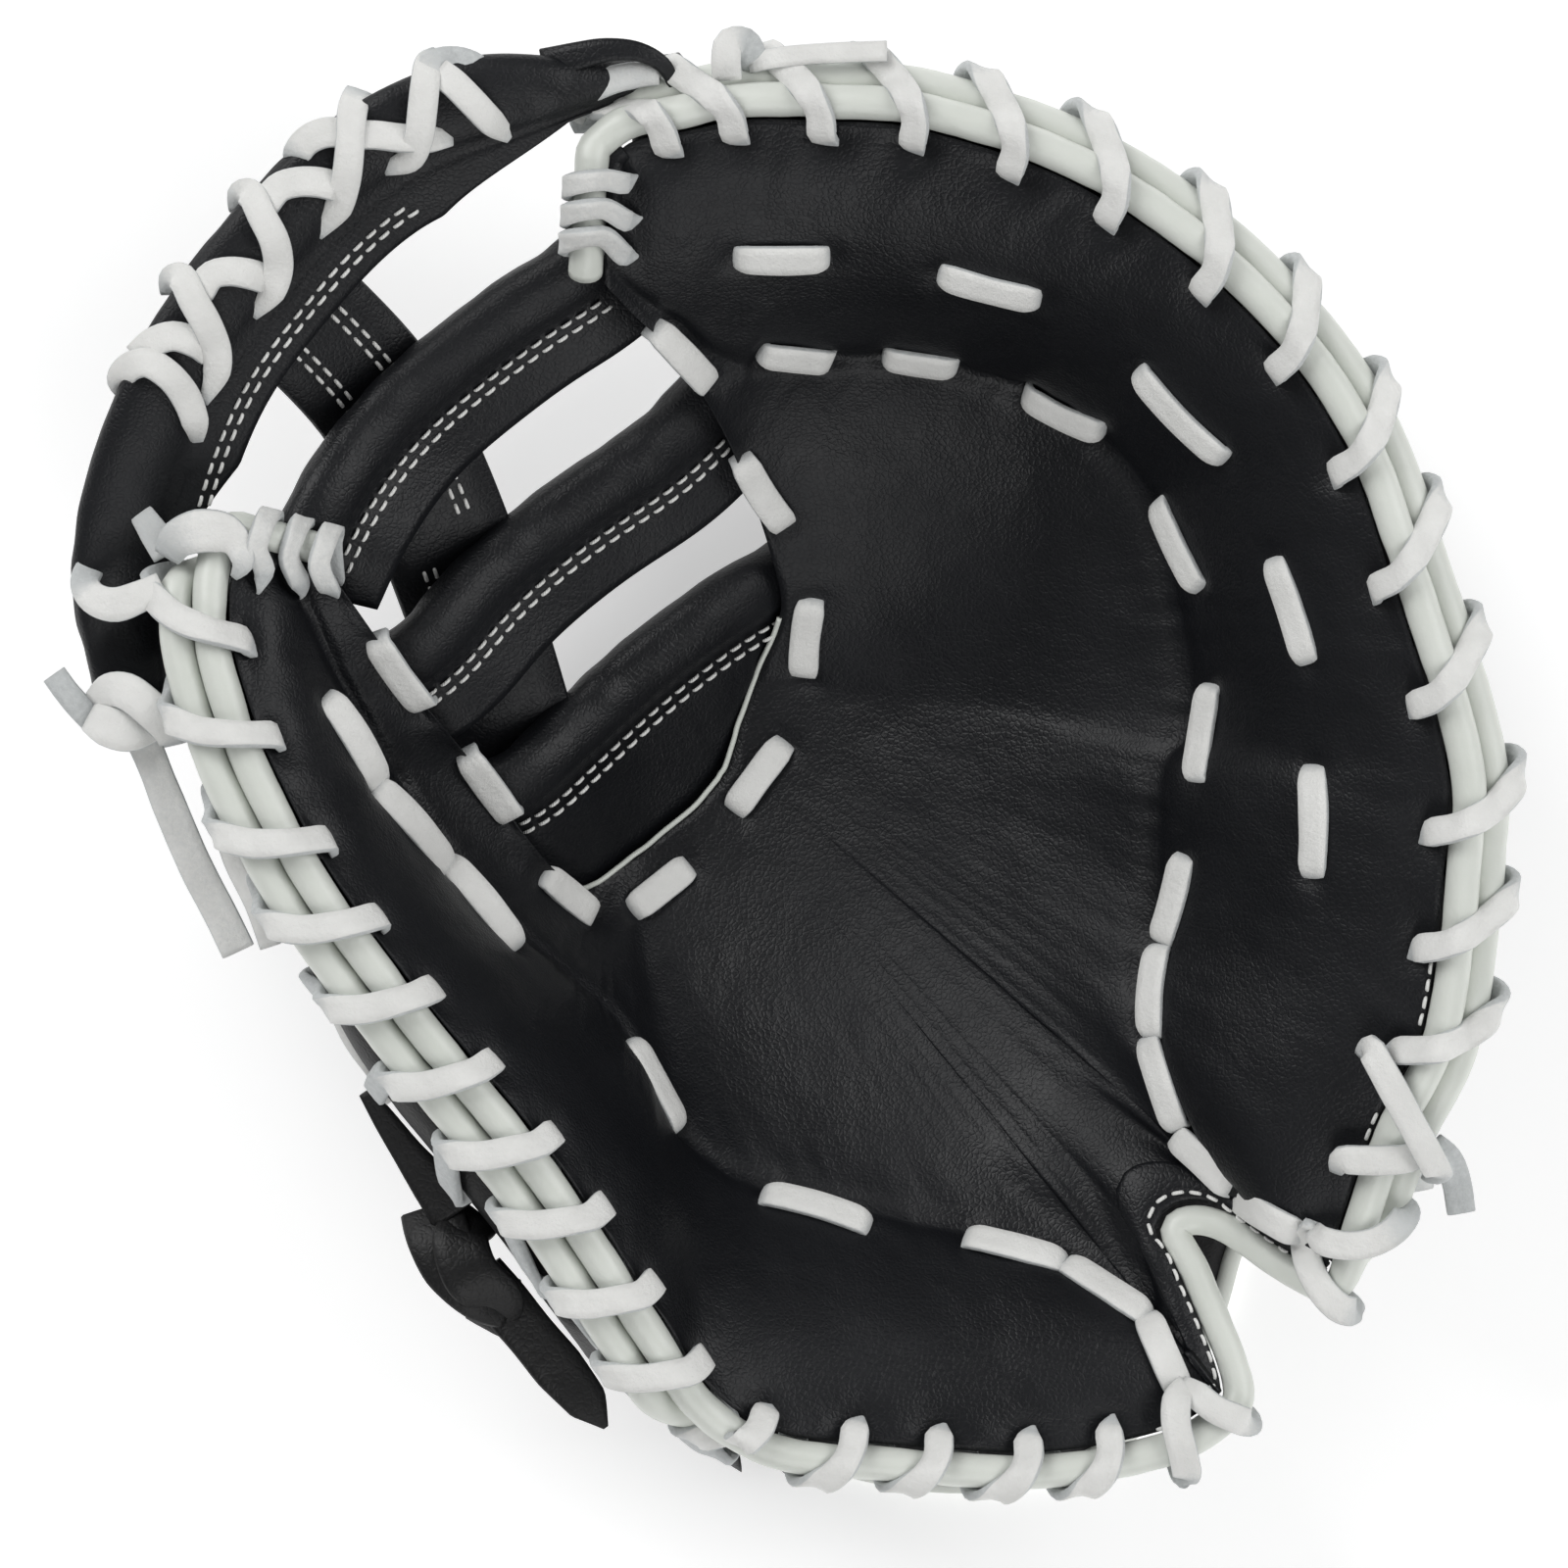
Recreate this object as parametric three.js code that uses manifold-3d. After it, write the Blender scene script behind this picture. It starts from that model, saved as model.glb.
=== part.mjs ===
// A first baseman mitt for the left hand, lying on its back with the pocket up.
// Millimetres, +Z up. +X and +Y run across the open palm: the web is at -X +Y, the heel at +X -Y.
// The palm is one padded panel, bent like a horseshoe round the web. Everything else follows its rim.
import * as THREE from "three";
import { mergeVertices } from "three/addons/utils/BufferGeometryUtils.js";
import Module from "manifold-3d";

const wasm = await Module();
wasm.setup();

// Overall sizes
const MITT_WIDTH = 294;
const MITT_LENGTH = 294;
const RIM_HEIGHT = 95;

// Leather, padding and lacing
const PALM_EDGE = 5;
const POCKET_THICKNESS = 6.5;
const PAD_RISE = 8;
const PAD_SINK = 3;
const BACK_WALL = 2.6;
const BACK_FLARE = 15;
const HAND_ROOM = 34;
const EDGE_ROOM = 3.8;
const PIPING_RADIUS = 3.4;
const BINDING_RADIUS = 2;
const LACE_WIDTH = 6;
const LACE_THICKNESS = 1.8;
const GAP = 0.5;
const TRIM = 0.3;
const SLIVER = 0.05;

// Lacing along the rim
const THUMB_PITCH = 18.3;
const FINGER_PITCH = 22;
const THUMB_SLANT = 11;
const FINGER_SLANT = 13;
const FRONT_HOLE = 10;
const BACK_HOLE = 10;

// Web
const BAR_ROLL = 14;
const BAR_ROLL_RISE = 10;
const BAR_FLANGE = 13;
const BAR_TILT = 0.5;
const TOP_BAR_ROLL = 18;
const TOP_BAR_RISE = 8;
const TOP_BAR_FLANGE = 11;
const TOP_BAR_TILT = 0.4;
const TOP_LACING = [0.2, 0.72];
const WEB_LEATHER = 3.6;
const SPINE_WIDTH = 27;

// Leather tie on the thumb
const THUMB_TIE_WIDTH = 11;
const THUMB_TIE_THICKNESS = 2.4;

// Wrist strap
const STRAP_WIDTH = 42;
const STRAP_THICKNESS = 3;

// Sections round the palm, from the thumb tip down the thumb, across the heel and its notch, and up the fingers.
// rimX, rimY and inX, inY are shares of half the width and length: the piping's centre, and the edge beside the web.
// rimZ, inZ and creaseZ are shares of the rim height. crease and back are shares of the way from rim to inner edge:
// where the pad ends in the pocket, and where the back shell ends. pad and hand are shares of the pad's rise and
// of the room for the hand. flare is a share of how far the back shell stands out past its piping.
const COLUMNS = ["rimX", "rimY", "rimZ", "inX", "inY", "inZ", "crease", "creaseZ", "pad", "hand", "back", "flare"];
const PALM_SECTIONS = [
  [-0.766, 0.313, 0.93, -0.616, 0.278, 0.89, 0.55, 0.9, 0.3, 0.2, 0.82, 0],
  [-0.776, 0.248, 0.95, -0.559, 0.195, 0.8, 0.58, 0.84, 0.5, 0.3, 0.82, 0],
  [-0.771, 0.172, 0.97, -0.517, 0.128, 0.7, 0.6, 0.77, 0.7, 0.42, 0.82, 0],
  [-0.742, 0.073, 0.98, -0.468, 0.069, 0.62, 0.6, 0.7, 0.8, 0.52, 0.82, 0],
  [-0.707, -0.012, 0.99, -0.421, 0.007, 0.49, 0.6, 0.62, 0.9, 0.62, 0.82, 0],
  [-0.628, -0.154, 0.99, -0.344, -0.101, 0.36, 0.6, 0.52, 1, 0.9, 0.82, 0],
  [-0.499, -0.328, 0.97, -0.294, -0.152, 0.25, 0.64, 0.45, 1, 1.15, 0.82, 0.4],
  [-0.336, -0.527, 0.93, -0.265, -0.15, 0.18, 0.64, 0.41, 1, 1.2, 0.72, 0.7],
  [-0.193, -0.74, 0.86, -0.232, -0.127, 0.15, 0.61, 0.39, 1, 1.15, 0.58, 1],
  [-0.113, -0.858, 0.78, -0.212, -0.111, 0.13, 0.5, 0.39, 1, 1, 0.46, 1],
  [-0.013, -0.921, 0.74, -0.192, -0.097, 0.12, 0.45, 0.4, 1, 1, 0.4, 1],
  [0.134, -0.939, 0.7, -0.17, -0.078, 0.115, 0.41, 0.41, 1, 1, 0.4, 0],
  [0.346, -0.952, 0.66, -0.128, -0.044, 0.115, 0.36, 0.43, 1, 1, 0.4, 0],
  [0.517, -0.925, 0.63, -0.106, -0.019, 0.113, 0.3, 0.46, 0.9, 1, 0.4, 0],
  [0.599, -0.882, 0.61, -0.097, -0.008, 0.113, 0.2, 0.51, 0.6, 1, 0.4, 0],
  [0.623, -0.832, 0.6, -0.093, -0.003, 0.113, 0.13, 0.54, 0.3, 1, 0.4, 0],
  [0.568, -0.687, 0.56, -0.089, 0.004, 0.113, 0.1, 0.52, 0.2, 1, 0.4, 0],
  [0.539, -0.623, 0.54, -0.086, 0.008, 0.113, 0.08, 0.51, 0.1, 1, 0.4, 0],
  [0.596, -0.616, 0.545, -0.083, 0.013, 0.113, 0.09, 0.51, 0.1, 1, 0.4, 0],
  [0.702, -0.683, 0.6, -0.079, 0.024, 0.113, 0.1, 0.55, 0.2, 1, 0.4, 0],
  [0.758, -0.697, 0.64, -0.075, 0.037, 0.113, 0.18, 0.56, 0.5, 1, 0.3, 0],
  [0.789, -0.607, 0.71, -0.07, 0.053, 0.113, 0.3, 0.53, 0.9, 1, 0.34, 0],
  [0.828, -0.487, 0.78, -0.065, 0.072, 0.113, 0.36, 0.48, 1, 1, 0.4, 0],
  [0.894, -0.339, 0.86, -0.057, 0.093, 0.115, 0.39, 0.47, 1, 1, 0.46, 0],
  [0.922, -0.09, 0.94, -0.042, 0.135, 0.12, 0.41, 0.48, 1, 1, 0.54, 0],
  [0.919, 0.029, 0.97, -0.033, 0.159, 0.14, 0.37, 0.49, 1, 0.95, 0.6, 0],
  [0.853, 0.248, 1, -0.012, 0.205, 0.18, 0.35, 0.5, 1, 0.88, 0.7, 0],
  [0.763, 0.487, 1, -0.004, 0.248, 0.24, 0.34, 0.51, 1, 0.8, 0.78, 0],
  [0.609, 0.677, 1, -0.02, 0.314, 0.31, 0.4, 0.52, 1, 0.7, 0.82, 0],
  [0.408, 0.821, 0.99, -0.042, 0.38, 0.38, 0.55, 0.54, 1, 0.6, 0.82, 0],
  [0.192, 0.898, 0.98, -0.066, 0.437, 0.45, 0.7, 0.56, 0.9, 0.5, 0.82, 0],
  [0.054, 0.911, 0.97, -0.086, 0.479, 0.52, 0.8, 0.59, 0.8, 0.45, 0.82, 0],
  [-0.053, 0.913, 0.965, -0.113, 0.526, 0.6, 0.85, 0.64, 0.7, 0.38, 0.82, 0],
  [-0.132, 0.899, 0.96, -0.143, 0.575, 0.68, 0.87, 0.71, 0.6, 0.3, 0.82, 0],
  [-0.212, 0.883, 0.955, -0.199, 0.623, 0.76, 0.88, 0.78, 0.4, 0.22, 0.82, 0],
  [-0.249, 0.857, 0.95, -0.244, 0.669, 0.84, 0.88, 0.86, 0.3, 0.16, 0.82, 0],
];
const LAST = PALM_SECTIONS.length - 1;
// Sections between which the shells and the lacing run, and how far the piping turns down each tip
const THUMB_SHELL = [0.5, 9.2];
const FINGER_SHELL = [20.4, 34.1];
const THUMB_LACING = [13.7, -0.9];
const FINGER_LACING = [20.6, 35.9];
const PAIRED = [10.2, 20.5];
const END_RUN = 0.95;
const END_TURN = 0.12;

// Web: the line where each bar's padded roll meets its flat flange, as shares of half the width, half the length
// and the rim height, from the thumb to the fingers. sections and depths say where its ends are held by the palm.
const TOP_BAR = [
  [-0.845, 0.1, 0.66],
  [-0.855, 0.2, 0.72],
  [-0.85, 0.31, 0.8],
  [-0.815, 0.43, 0.88],
  [-0.762, 0.55, 0.92],
  [-0.675, 0.665, 0.93],
  [-0.6, 0.75, 0.93],
  [-0.51, 0.82, 0.93],
  [-0.397, 0.86, 0.93],
  [-0.31, 0.885, 0.92],
  [-0.215, 0.925, 0.9],
  [-0.135, 0.945, 0.87],
];
const UPPER_BAR = [
  [-0.6, 0.33, 0.8],
  [-0.563, 0.396, 0.76],
  [-0.502, 0.477, 0.72],
  [-0.425, 0.543, 0.7],
  [-0.31, 0.628, 0.71],
  [-0.25, 0.658, 0.74],
];
const LOWER_BAR = [
  [-0.455, 0.15, 0.54],
  [-0.41, 0.215, 0.5],
  [-0.355, 0.27, 0.46],
  [-0.291, 0.323, 0.43],
  [-0.225, 0.37, 0.42],
  [-0.155, 0.412, 0.42],
];
const BASE_BAR = [
  [-0.335, -0.04, 0.33],
  [-0.3, 0, 0.29],
  [-0.253, 0.044, 0.25],
  [-0.187, 0.106, 0.22],
  [-0.111, 0.167, 0.2],
  [-0.05, 0.21, 0.195],
];

// Laced creases of the palm, as [section, share of the way from rim to inner edge]
const THUMB_CREASE = [[2.5, 0.6], [3.3, 0.6], [4.2, 0.6], [5.1, 0.6], [6, 0.62]];
const HEEL_CREASE = [[12.4, 0.34], [12.9, 0.31], [13.5, 0.26], [14, 0.2], [14.25, 0.16]];
const FINGER_CREASE = [[23.4, 0.4], [22.8, 0.39], [22, 0.36], [21.3, 0.33], [20.7, 0.27], [20.45, 0.24]];

// Loose ends of the ties' knots, from the knot outwards, as shares of half the width, half the length and the height
const WEB_TIE_TAILS = [
  [[-0.93, 0.1, 0.8], [-0.99, 0.135, 0.78]],
  [[-0.87, 0.02, 0.72], [-0.83, -0.11, 0.66], [-0.755, -0.235, 0.6]],
];
const HEEL_TIE_TAILS = [
  [[0.92, -0.56, 0.55], [0.945, -0.6, 0.5]],
  [[0.9, -0.45, 0.56], [0.925, -0.4, 0.54]],
];
const THUMB_TIE_TAILS = [
  [[-0.5, -0.54, 0.62], [-0.567, -0.432, 0.6]],
  [[-0.37, -0.76, 0.52], [-0.255, -0.905, 0.44]],
];

// Wrist strap: shares of half the width and half the length, lying on the floor under the heel
const STRAP_ROUTE = [
  [0.02, -0.79],
  [0.14, -0.83],
  [0.26, -0.845],
  [0.37, -0.82],
  [0.45, -0.74],
  [0.49, -0.62],
  [0.54, -0.5],
];
const STRAP_SEATS = [
  [9.1, 0.3],
  [22.4, 0.36],
];

const V = (x, y, z) => new THREE.Vector3(x, y, z);
const UP = V(0, 0, 1);
const mix = (a, b, t) => a + (b - a) * t;
const clamp = (t) => Math.min(1, Math.max(0, t));
const smooth = (t) => clamp(t) ** 2 * (3 - 2 * clamp(t));
const add = (p, d, length) => p.clone().addScaledVector(d, length);
const placed = ([x, y, z = 0]) => V((x * MITT_WIDTH) / 2, (y * MITT_LENGTH) / 2, z * RIM_HEIGHT);
const shares = (n, from = 0, to = 1) => Array.from({ length: n + 1 }, (_, i) => mix(from, to, i / n));

// Catmull-Rom value at t between p1 and p2
function catmull(p0, p1, p2, p3, t) {
  const a = 2 * p1;
  const b = p2 - p0;
  const c = 2 * p0 - 5 * p1 + 4 * p2 - p3;
  const d = 3 * p1 - p0 - 3 * p2 + p3;
  return (a + b * t + c * t * t + d * t ** 3) / 2;
}

// Values of a table at a real-valued row
function rowAt(table, k) {
  const i = Math.min(table.length - 2, Math.max(0, Math.floor(k)));
  const pick = (j) => table[Math.min(table.length - 1, Math.max(0, j))];
  return table[i].map((_, c) => catmull(pick(i - 1)[c], pick(i)[c], pick(i + 1)[c], pick(i + 2)[c], k - i));
}

function section(k) {
  const row = rowAt(PALM_SECTIONS, k);
  return Object.fromEntries(COLUMNS.map((name, c) => [name, row[c]]));
}

// The rim: centre line of the palm's piping
function rim(k) {
  const s = section(k);
  return placed([s.rimX, s.rimY, s.rimZ]);
}

// Direction along the rim, and the level direction from it to the palm
function rimFrame(k) {
  const step = 0.02;
  const along = rim(Math.min(LAST, k + step)).sub(rim(Math.max(0, k - step))).normalize();
  const inward = V(-along.y, along.x, 0).normalize();
  return { along, inward };
}

// Front face of the palm at share u of the way from rim to inner edge. The bowl leaves the pads' bulge out.
function palmFace(u, k, bulge = 1) {
  const s = section(k);
  const edge = add(rim(k), rimFrame(k).inward, PIPING_RADIUS + GAP);
  const inner = placed([s.inX, s.inY]);
  const t = u / s.crease;
  const pocket = Math.max(0, (1 - u) / (1 - s.crease));
  const height = t < 1 ? mix(s.rimZ, s.creaseZ, t) : s.inZ + (s.creaseZ - s.inZ) * pocket ** 1.6;
  const puff = t < 1 && t > 0 ? bulge * s.pad * PAD_RISE * Math.sin(Math.PI * t) : 0;
  return V(mix(edge.x, inner.x, u), mix(edge.y, inner.y, u), height * RIM_HEIGHT + puff);
}

// Normal of that face, pointing to the catching side
function palmNormal(u, k, bulge = 1) {
  const du = palmFace(u + 0.02, k, bulge).sub(palmFace(Math.max(0, u - 0.02), k, bulge));
  const dk = palmFace(u, Math.min(LAST, k + 0.05), bulge).sub(palmFace(u, Math.max(0, k - 0.05), bulge));
  const n = dk.cross(du).normalize();
  return n.z < 0 ? n.negate() : n;
}

// Direction down and out from the bowl, square to it within the upright plane of the section
function awayFromPalm(u, k, reach) {
  const d = palmFace(Math.min(1, u + reach), k, 0).sub(palmFace(Math.max(0, u - reach), k, 0));
  const level = Math.hypot(d.x, d.y);
  return V((d.x / level) * d.z, (d.y / level) * d.z, -level).normalize();
}

function palmDepth(u, k) {
  const { crease, pad } = section(k);
  const t = clamp(u / crease);
  return mix(PALM_EDGE, POCKET_THICKNESS, smooth(t)) + pad * PAD_SINK * Math.sin(Math.PI * t);
}

// Back face of the palm. Beside the piping it is straight below the front, so the piping stays clear.
function palmLining(u, k, extra = 0) {
  const down = UP.clone().negate().lerp(awayFromPalm(u, k, 0.06), smooth(u / 0.15)).normalize();
  return add(palmFace(u, k, 0), down, palmDepth(u, k) + extra);
}

// The laced edge: the rim, and past its two ends the piping that turns down each tip beside the web.
// It gives the piping's centre, the direction from it to the palm, and the palm's face at a distance from it.
function edgeAt(e) {
  const k = Math.min(LAST, Math.max(0, e));
  const { along, inward } = rimFrame(k);
  if (k === e) {
    const length = rim(k).distanceTo(palmFace(1, k));
    return { centre: rim(k), inward, at: (d) => [d / length, k] };
  }
  const past = Math.abs(e - k);
  const row = palmFace(0.3, k, 0).sub(palmFace(0, k, 0)).normalize();
  const out = along.clone().multiplyScalar(Math.sign(e - k));
  out.addScaledVector(row, -out.dot(row)).normalize();
  const turn = smooth(past / END_TURN);
  const u = (Math.max(0, past - END_TURN) / (1 - END_TURN)) * END_RUN;
  const away = inward.clone().negate().multiplyScalar(1 - turn).addScaledVector(out, turn).normalize();
  const speed = palmFace(u, k).distanceTo(palmFace(u, k - 0.2 * Math.sign(e - k))) / 0.2;
  return {
    centre: add(palmFace(u, k), away, PIPING_RADIUS + GAP),
    inward: away.clone().negate(),
    at: (d) => [u + 0.04, k - (Math.sign(e - k) * d) / speed],
  };
}

function edgeLength(e0, e1) {
  const stops = shares(400, e0, e1).map((e) => edgeAt(e).centre);
  return stops.slice(1).reduce((sum, p, i) => sum + p.distanceTo(stops[i]), 0);
}

// Place on the edge reached from e by going a length along it
function stepEdge(e, length) {
  const de = 0.02 * Math.sign(length);
  let left = Math.abs(length);
  let here = e;
  let p = edgeAt(e).centre;
  while (left > 0 && here + de >= -1 && here + de <= LAST + 1) {
    const q = edgeAt(here + de).centre;
    left -= q.distanceTo(p);
    here += de;
    p = q;
  }
  return here;
}

// Second piping, on the back shell's edge: outside the first one and a little lower
const PAIR_TILT = 0.35;
const PAIR_DISTANCE = 2 * PIPING_RADIUS + GAP;
function outerPiping(k) {
  const { inward } = rimFrame(k);
  return add(add(rim(k), inward, -PAIR_DISTANCE * Math.cos(PAIR_TILT)), UP, -PAIR_DISTANCE * Math.sin(PAIR_TILT));
}

// Room between palm and back shell: narrow at the rim, wide for the hand, and shut again beside the web
function handRoom(u, k) {
  const s = section(k);
  const shut = smooth((s.back - 0.6) / 0.2);
  const fall = mix(1, smooth((s.back - u) / 0.3), shut);
  return EDGE_ROOM * mix(1, 0.35, shut * smooth(u / s.back)) + s.hand * HAND_ROOM * smooth(u / 0.3) * fall;
}

// Faces of the back shell; layer 0 is the one towards the hand, 1 the outer one. It stands straight down from its
// piping, apart from its flare, and it is flat where it rests.
function backFace(u, k, layer, room = 0) {
  const s = section(k);
  const grow = (2 * layer - 1) * room;
  const wall = layer * BACK_WALL + grow;
  const p = add(palmFace(u, k, 0), awayFromPalm(u, k, 0.12), palmDepth(u, k) + handRoom(u, k) + wall);
  const { inward } = rimFrame(k);
  const row = palmFace(1, k, 0).sub(palmFace(0, k, 0)).setZ(0).normalize();
  const limit = BACK_WALL / 2 - wall - PAIR_DISTANCE * Math.cos(PAIR_TILT);
  const reach = p.clone().sub(rim(k)).dot(inward);
  if (reach < limit) p.addScaledVector(row, (limit - reach) / Math.max(0.3, row.dot(inward)));
  p.addScaledVector(row, -BACK_FLARE * s.flare * smooth(u / 0.12) * smooth((0.6 - u) / 0.4));
  p.z = Math.max(p.z, (1 - layer) * BACK_WALL - grow);
  return p;
}

// A point just outside the back shell
function outsideBack(u, k, lift) {
  const du = backFace(u + 0.02, k, 1).sub(backFace(Math.max(0, u - 0.02), k, 1));
  const dk = backFace(u, k + 0.05, 1).sub(backFace(u, k - 0.05, 1));
  const n = dk.cross(du).normalize();
  const away = backFace(u, k, 1).sub(palmFace(u, k, 0));
  return add(backFace(u, k, 1), n.dot(away) < 0 ? n.negate() : n, lift);
}

// A solid from points and triangles, turned to face out
function solid(points, faces) {
  const geometry = new THREE.BufferGeometry();
  geometry.setAttribute("position", new THREE.Float32BufferAttribute(points.flatMap((p) => [p.x, p.y, p.z]), 3));
  geometry.setIndex(faces);
  const merged = mergeVertices(geometry, 1e-3);
  const triangles = (order) => {
    const t = new Uint32Array(merged.index.array);
    if (order < 0) for (let i = 0; i < t.length; i += 3) [t[i + 1], t[i + 2]] = [t[i + 2], t[i + 1]];
    return t;
  };
  const build = (order) =>
    new wasm.Manifold(
      new wasm.Mesh({ numProp: 3, vertProperties: merged.attributes.position.array, triVerts: triangles(order) }),
    );
  const made = build(1);
  return made.volume() > 0 ? made : build(-1);
}

// Closed solid between two grids of points, front[i][j] above back[i][j]
function slab(front, back) {
  const rows = front.length;
  const cols = front[0].length;
  const at = (i, j, side) => side * rows * cols + i * cols + j;
  const faces = [];
  const quad = (a, b, c, d) => faces.push(a, b, c, a, c, d);
  for (let i = 0; i < rows - 1; i++)
    for (let j = 0; j < cols - 1; j++) {
      quad(at(i, j, 0), at(i + 1, j, 0), at(i + 1, j + 1, 0), at(i, j + 1, 0));
      quad(at(i, j, 1), at(i, j + 1, 1), at(i + 1, j + 1, 1), at(i + 1, j, 1));
    }
  for (let i = 0; i < rows - 1; i++) {
    quad(at(i, 0, 0), at(i, 0, 1), at(i + 1, 0, 1), at(i + 1, 0, 0));
    quad(at(i, cols - 1, 0), at(i + 1, cols - 1, 0), at(i + 1, cols - 1, 1), at(i, cols - 1, 1));
  }
  for (let j = 0; j < cols - 1; j++) {
    quad(at(0, j, 0), at(0, j + 1, 0), at(0, j + 1, 1), at(0, j, 1));
    quad(at(rows - 1, j, 0), at(rows - 1, j, 1), at(rows - 1, j + 1, 1), at(rows - 1, j + 1, 0));
  }
  return solid([...front.flat(), ...back.flat()], faces);
}

// Closed solid through rings of points, all with the outline's triangulated ends
function loft(rings, outline) {
  const n = rings[0].length;
  const faces = [];
  for (let i = 0; i < rings.length - 1; i++)
    for (let j = 0; j < n; j++) {
      const a = i * n + j;
      const b = i * n + ((j + 1) % n);
      faces.push(a, b, b + n, a, b + n, a + n);
    }
  const last = (rings.length - 1) * n;
  const flat = outline.map(([a, b]) => new THREE.Vector2(a, b));
  const turned = THREE.ShapeUtils.area(flat) < 0;
  for (const [a, b, c] of THREE.ShapeUtils.triangulateShape(flat, [])) {
    if (turned) faces.push(a, b, c, last + a, last + c, last + b);
    else faces.push(a, c, b, last + a, last + b, last + c);
  }
  return solid(rings.flat(), faces);
}

// Frame at each point of a path: its direction, its width's direction, and the one square to both
function frames(path, sides) {
  return path.map((p, i) => {
    const d = path[Math.min(path.length - 1, i + 1)].clone().sub(path[Math.max(0, i - 1)]).normalize();
    const side = sides[i].clone().addScaledVector(d, -sides[i].dot(d)).normalize();
    return { p, d, side, up: side.clone().cross(d) };
  });
}

const across = ({ p, side, up }, a, b) => add(add(p, side, a), up, b);
const sweep = (path, sides, outline) =>
  loft(frames(path, sides).map((f) => outline.map(([a, b]) => across(f, a, b))), outline);
const circle = (r, n) => shares(n - 1, 0, 2 * Math.PI * (1 - 1 / n)).map((a) => [r * Math.cos(a), r * Math.sin(a)]);
const cord = (path, radius, corners = 6) => sweep(path, path.map(() => UP), circle(radius, corners));

function strip(path, sides, width, thickness) {
  const w = width / 2;
  const t = thickness / 2;
  return sweep(path, sides, [[-w, -t], [w, -t], [w, t], [-w, t]]);
}

const lace = ({ path, sides }, room = 0) => strip(path, sides, LACE_WIDTH + 2 * room, LACE_THICKNESS + 2 * room);

// Straight slots for a lace to pass through leather, each a little longer than the lace's way through
function laceSlots({ path, sides, holes }, room) {
  const reach = room + LACE_THICKNESS / 2;
  const slots = holes.map((i) => {
    const d = path[i + 1].clone().sub(path[i]).normalize();
    const ends = [add(path[i], d, -reach), add(path[i + 1], d, reach)];
    return strip(ends, [sides[i], sides[i]], LACE_WIDTH + 2 * room, 2 * reach);
  });
  return wasm.Manifold.union(slots);
}

// What is left of a piece when its neighbours' room is cut away: its largest solid
function carve(body, ...rooms) {
  const left = rooms.reduce((piece, room) => piece.subtract(room), body);
  return left.simplify(SLIVER).decompose().sort((a, b) => b.volume() - a.volume())[0];
}

const join = (...bodies) => bodies.reduce((a, b) => a.add(b));

// Places along the edge: every table row, and between them no further apart than the spacing
function edgeSamples(e0, e1, spacing) {
  const stops = [e0];
  for (let k = Math.floor(e0) + 1; k < e1; k++) stops.push(k);
  stops.push(e1);
  return stops.slice(1).reduce(
    (out, stop, i) => {
      const n = Math.max(1, Math.round(edgeLength(stops[i], stop) / spacing));
      return [...out, ...shares(n, stops[i], stop).slice(1)];
    },
    [e0],
  );
}

// Palm, and the same with room round it
const RIM_SPACING = 24;
const PAD_STEPS = 3;
const POCKET_STEPS = 3;
function palmSlab(room = 0) {
  const across = (k) => {
    const { crease } = section(k);
    return [...shares(PAD_STEPS, 0, crease).slice(0, -1), ...shares(POCKET_STEPS, crease, 1)];
  };
  const samples = edgeSamples(0, LAST, RIM_SPACING);
  const grow = (p, u, k) => {
    if (room === 0) return p;
    const row = palmFace(1, k, 0).sub(palmFace(0, k, 0)).normalize();
    const end = k === 0 ? -1 : k === LAST ? 1 : 0;
    return add(add(p, row, (u === 1 ? 1 : u === 0 ? -1 : 0) * room), rimFrame(k).along, end * room);
  };
  return slab(
    samples.map((k) => across(k).map((u) => grow(add(palmFace(u, k), UP, room), u, k))),
    samples.map((k) => across(k).map((u) => grow(palmLining(u, k, room), u, k))),
  );
}

// Back shell hung under its piping, and the same with room round it
const BACK_SHARES = [0, 0.08, 0.25, 0.45, 0.7, 1];
function backShell([k0, k1], room = 0) {
  const past = room === 0 ? [] : [room / 10];
  const inner = edgeSamples(k0, k1, RIM_SPACING * 1.3);
  const samples = [...past.map((d) => k0 - d), ...inner, ...past.map((d) => k1 + d)];
  const face = (k, layer) => {
    const under = add(outerPiping(k), UP, -PIPING_RADIUS - GAP);
    const top = add(under, rimFrame(k).inward, (0.5 - layer) * (BACK_WALL + 2 * room));
    const wall = BACK_SHARES.slice(1).map((w) => backFace(w * (section(k).back + room / 50), k, layer, room));
    return room === 0 ? [top, ...wall] : [add(top, UP, room), top, ...wall];
  };
  return slab(samples.map((k) => face(k, 0)), samples.map((k) => face(k, 1)));
}

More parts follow.
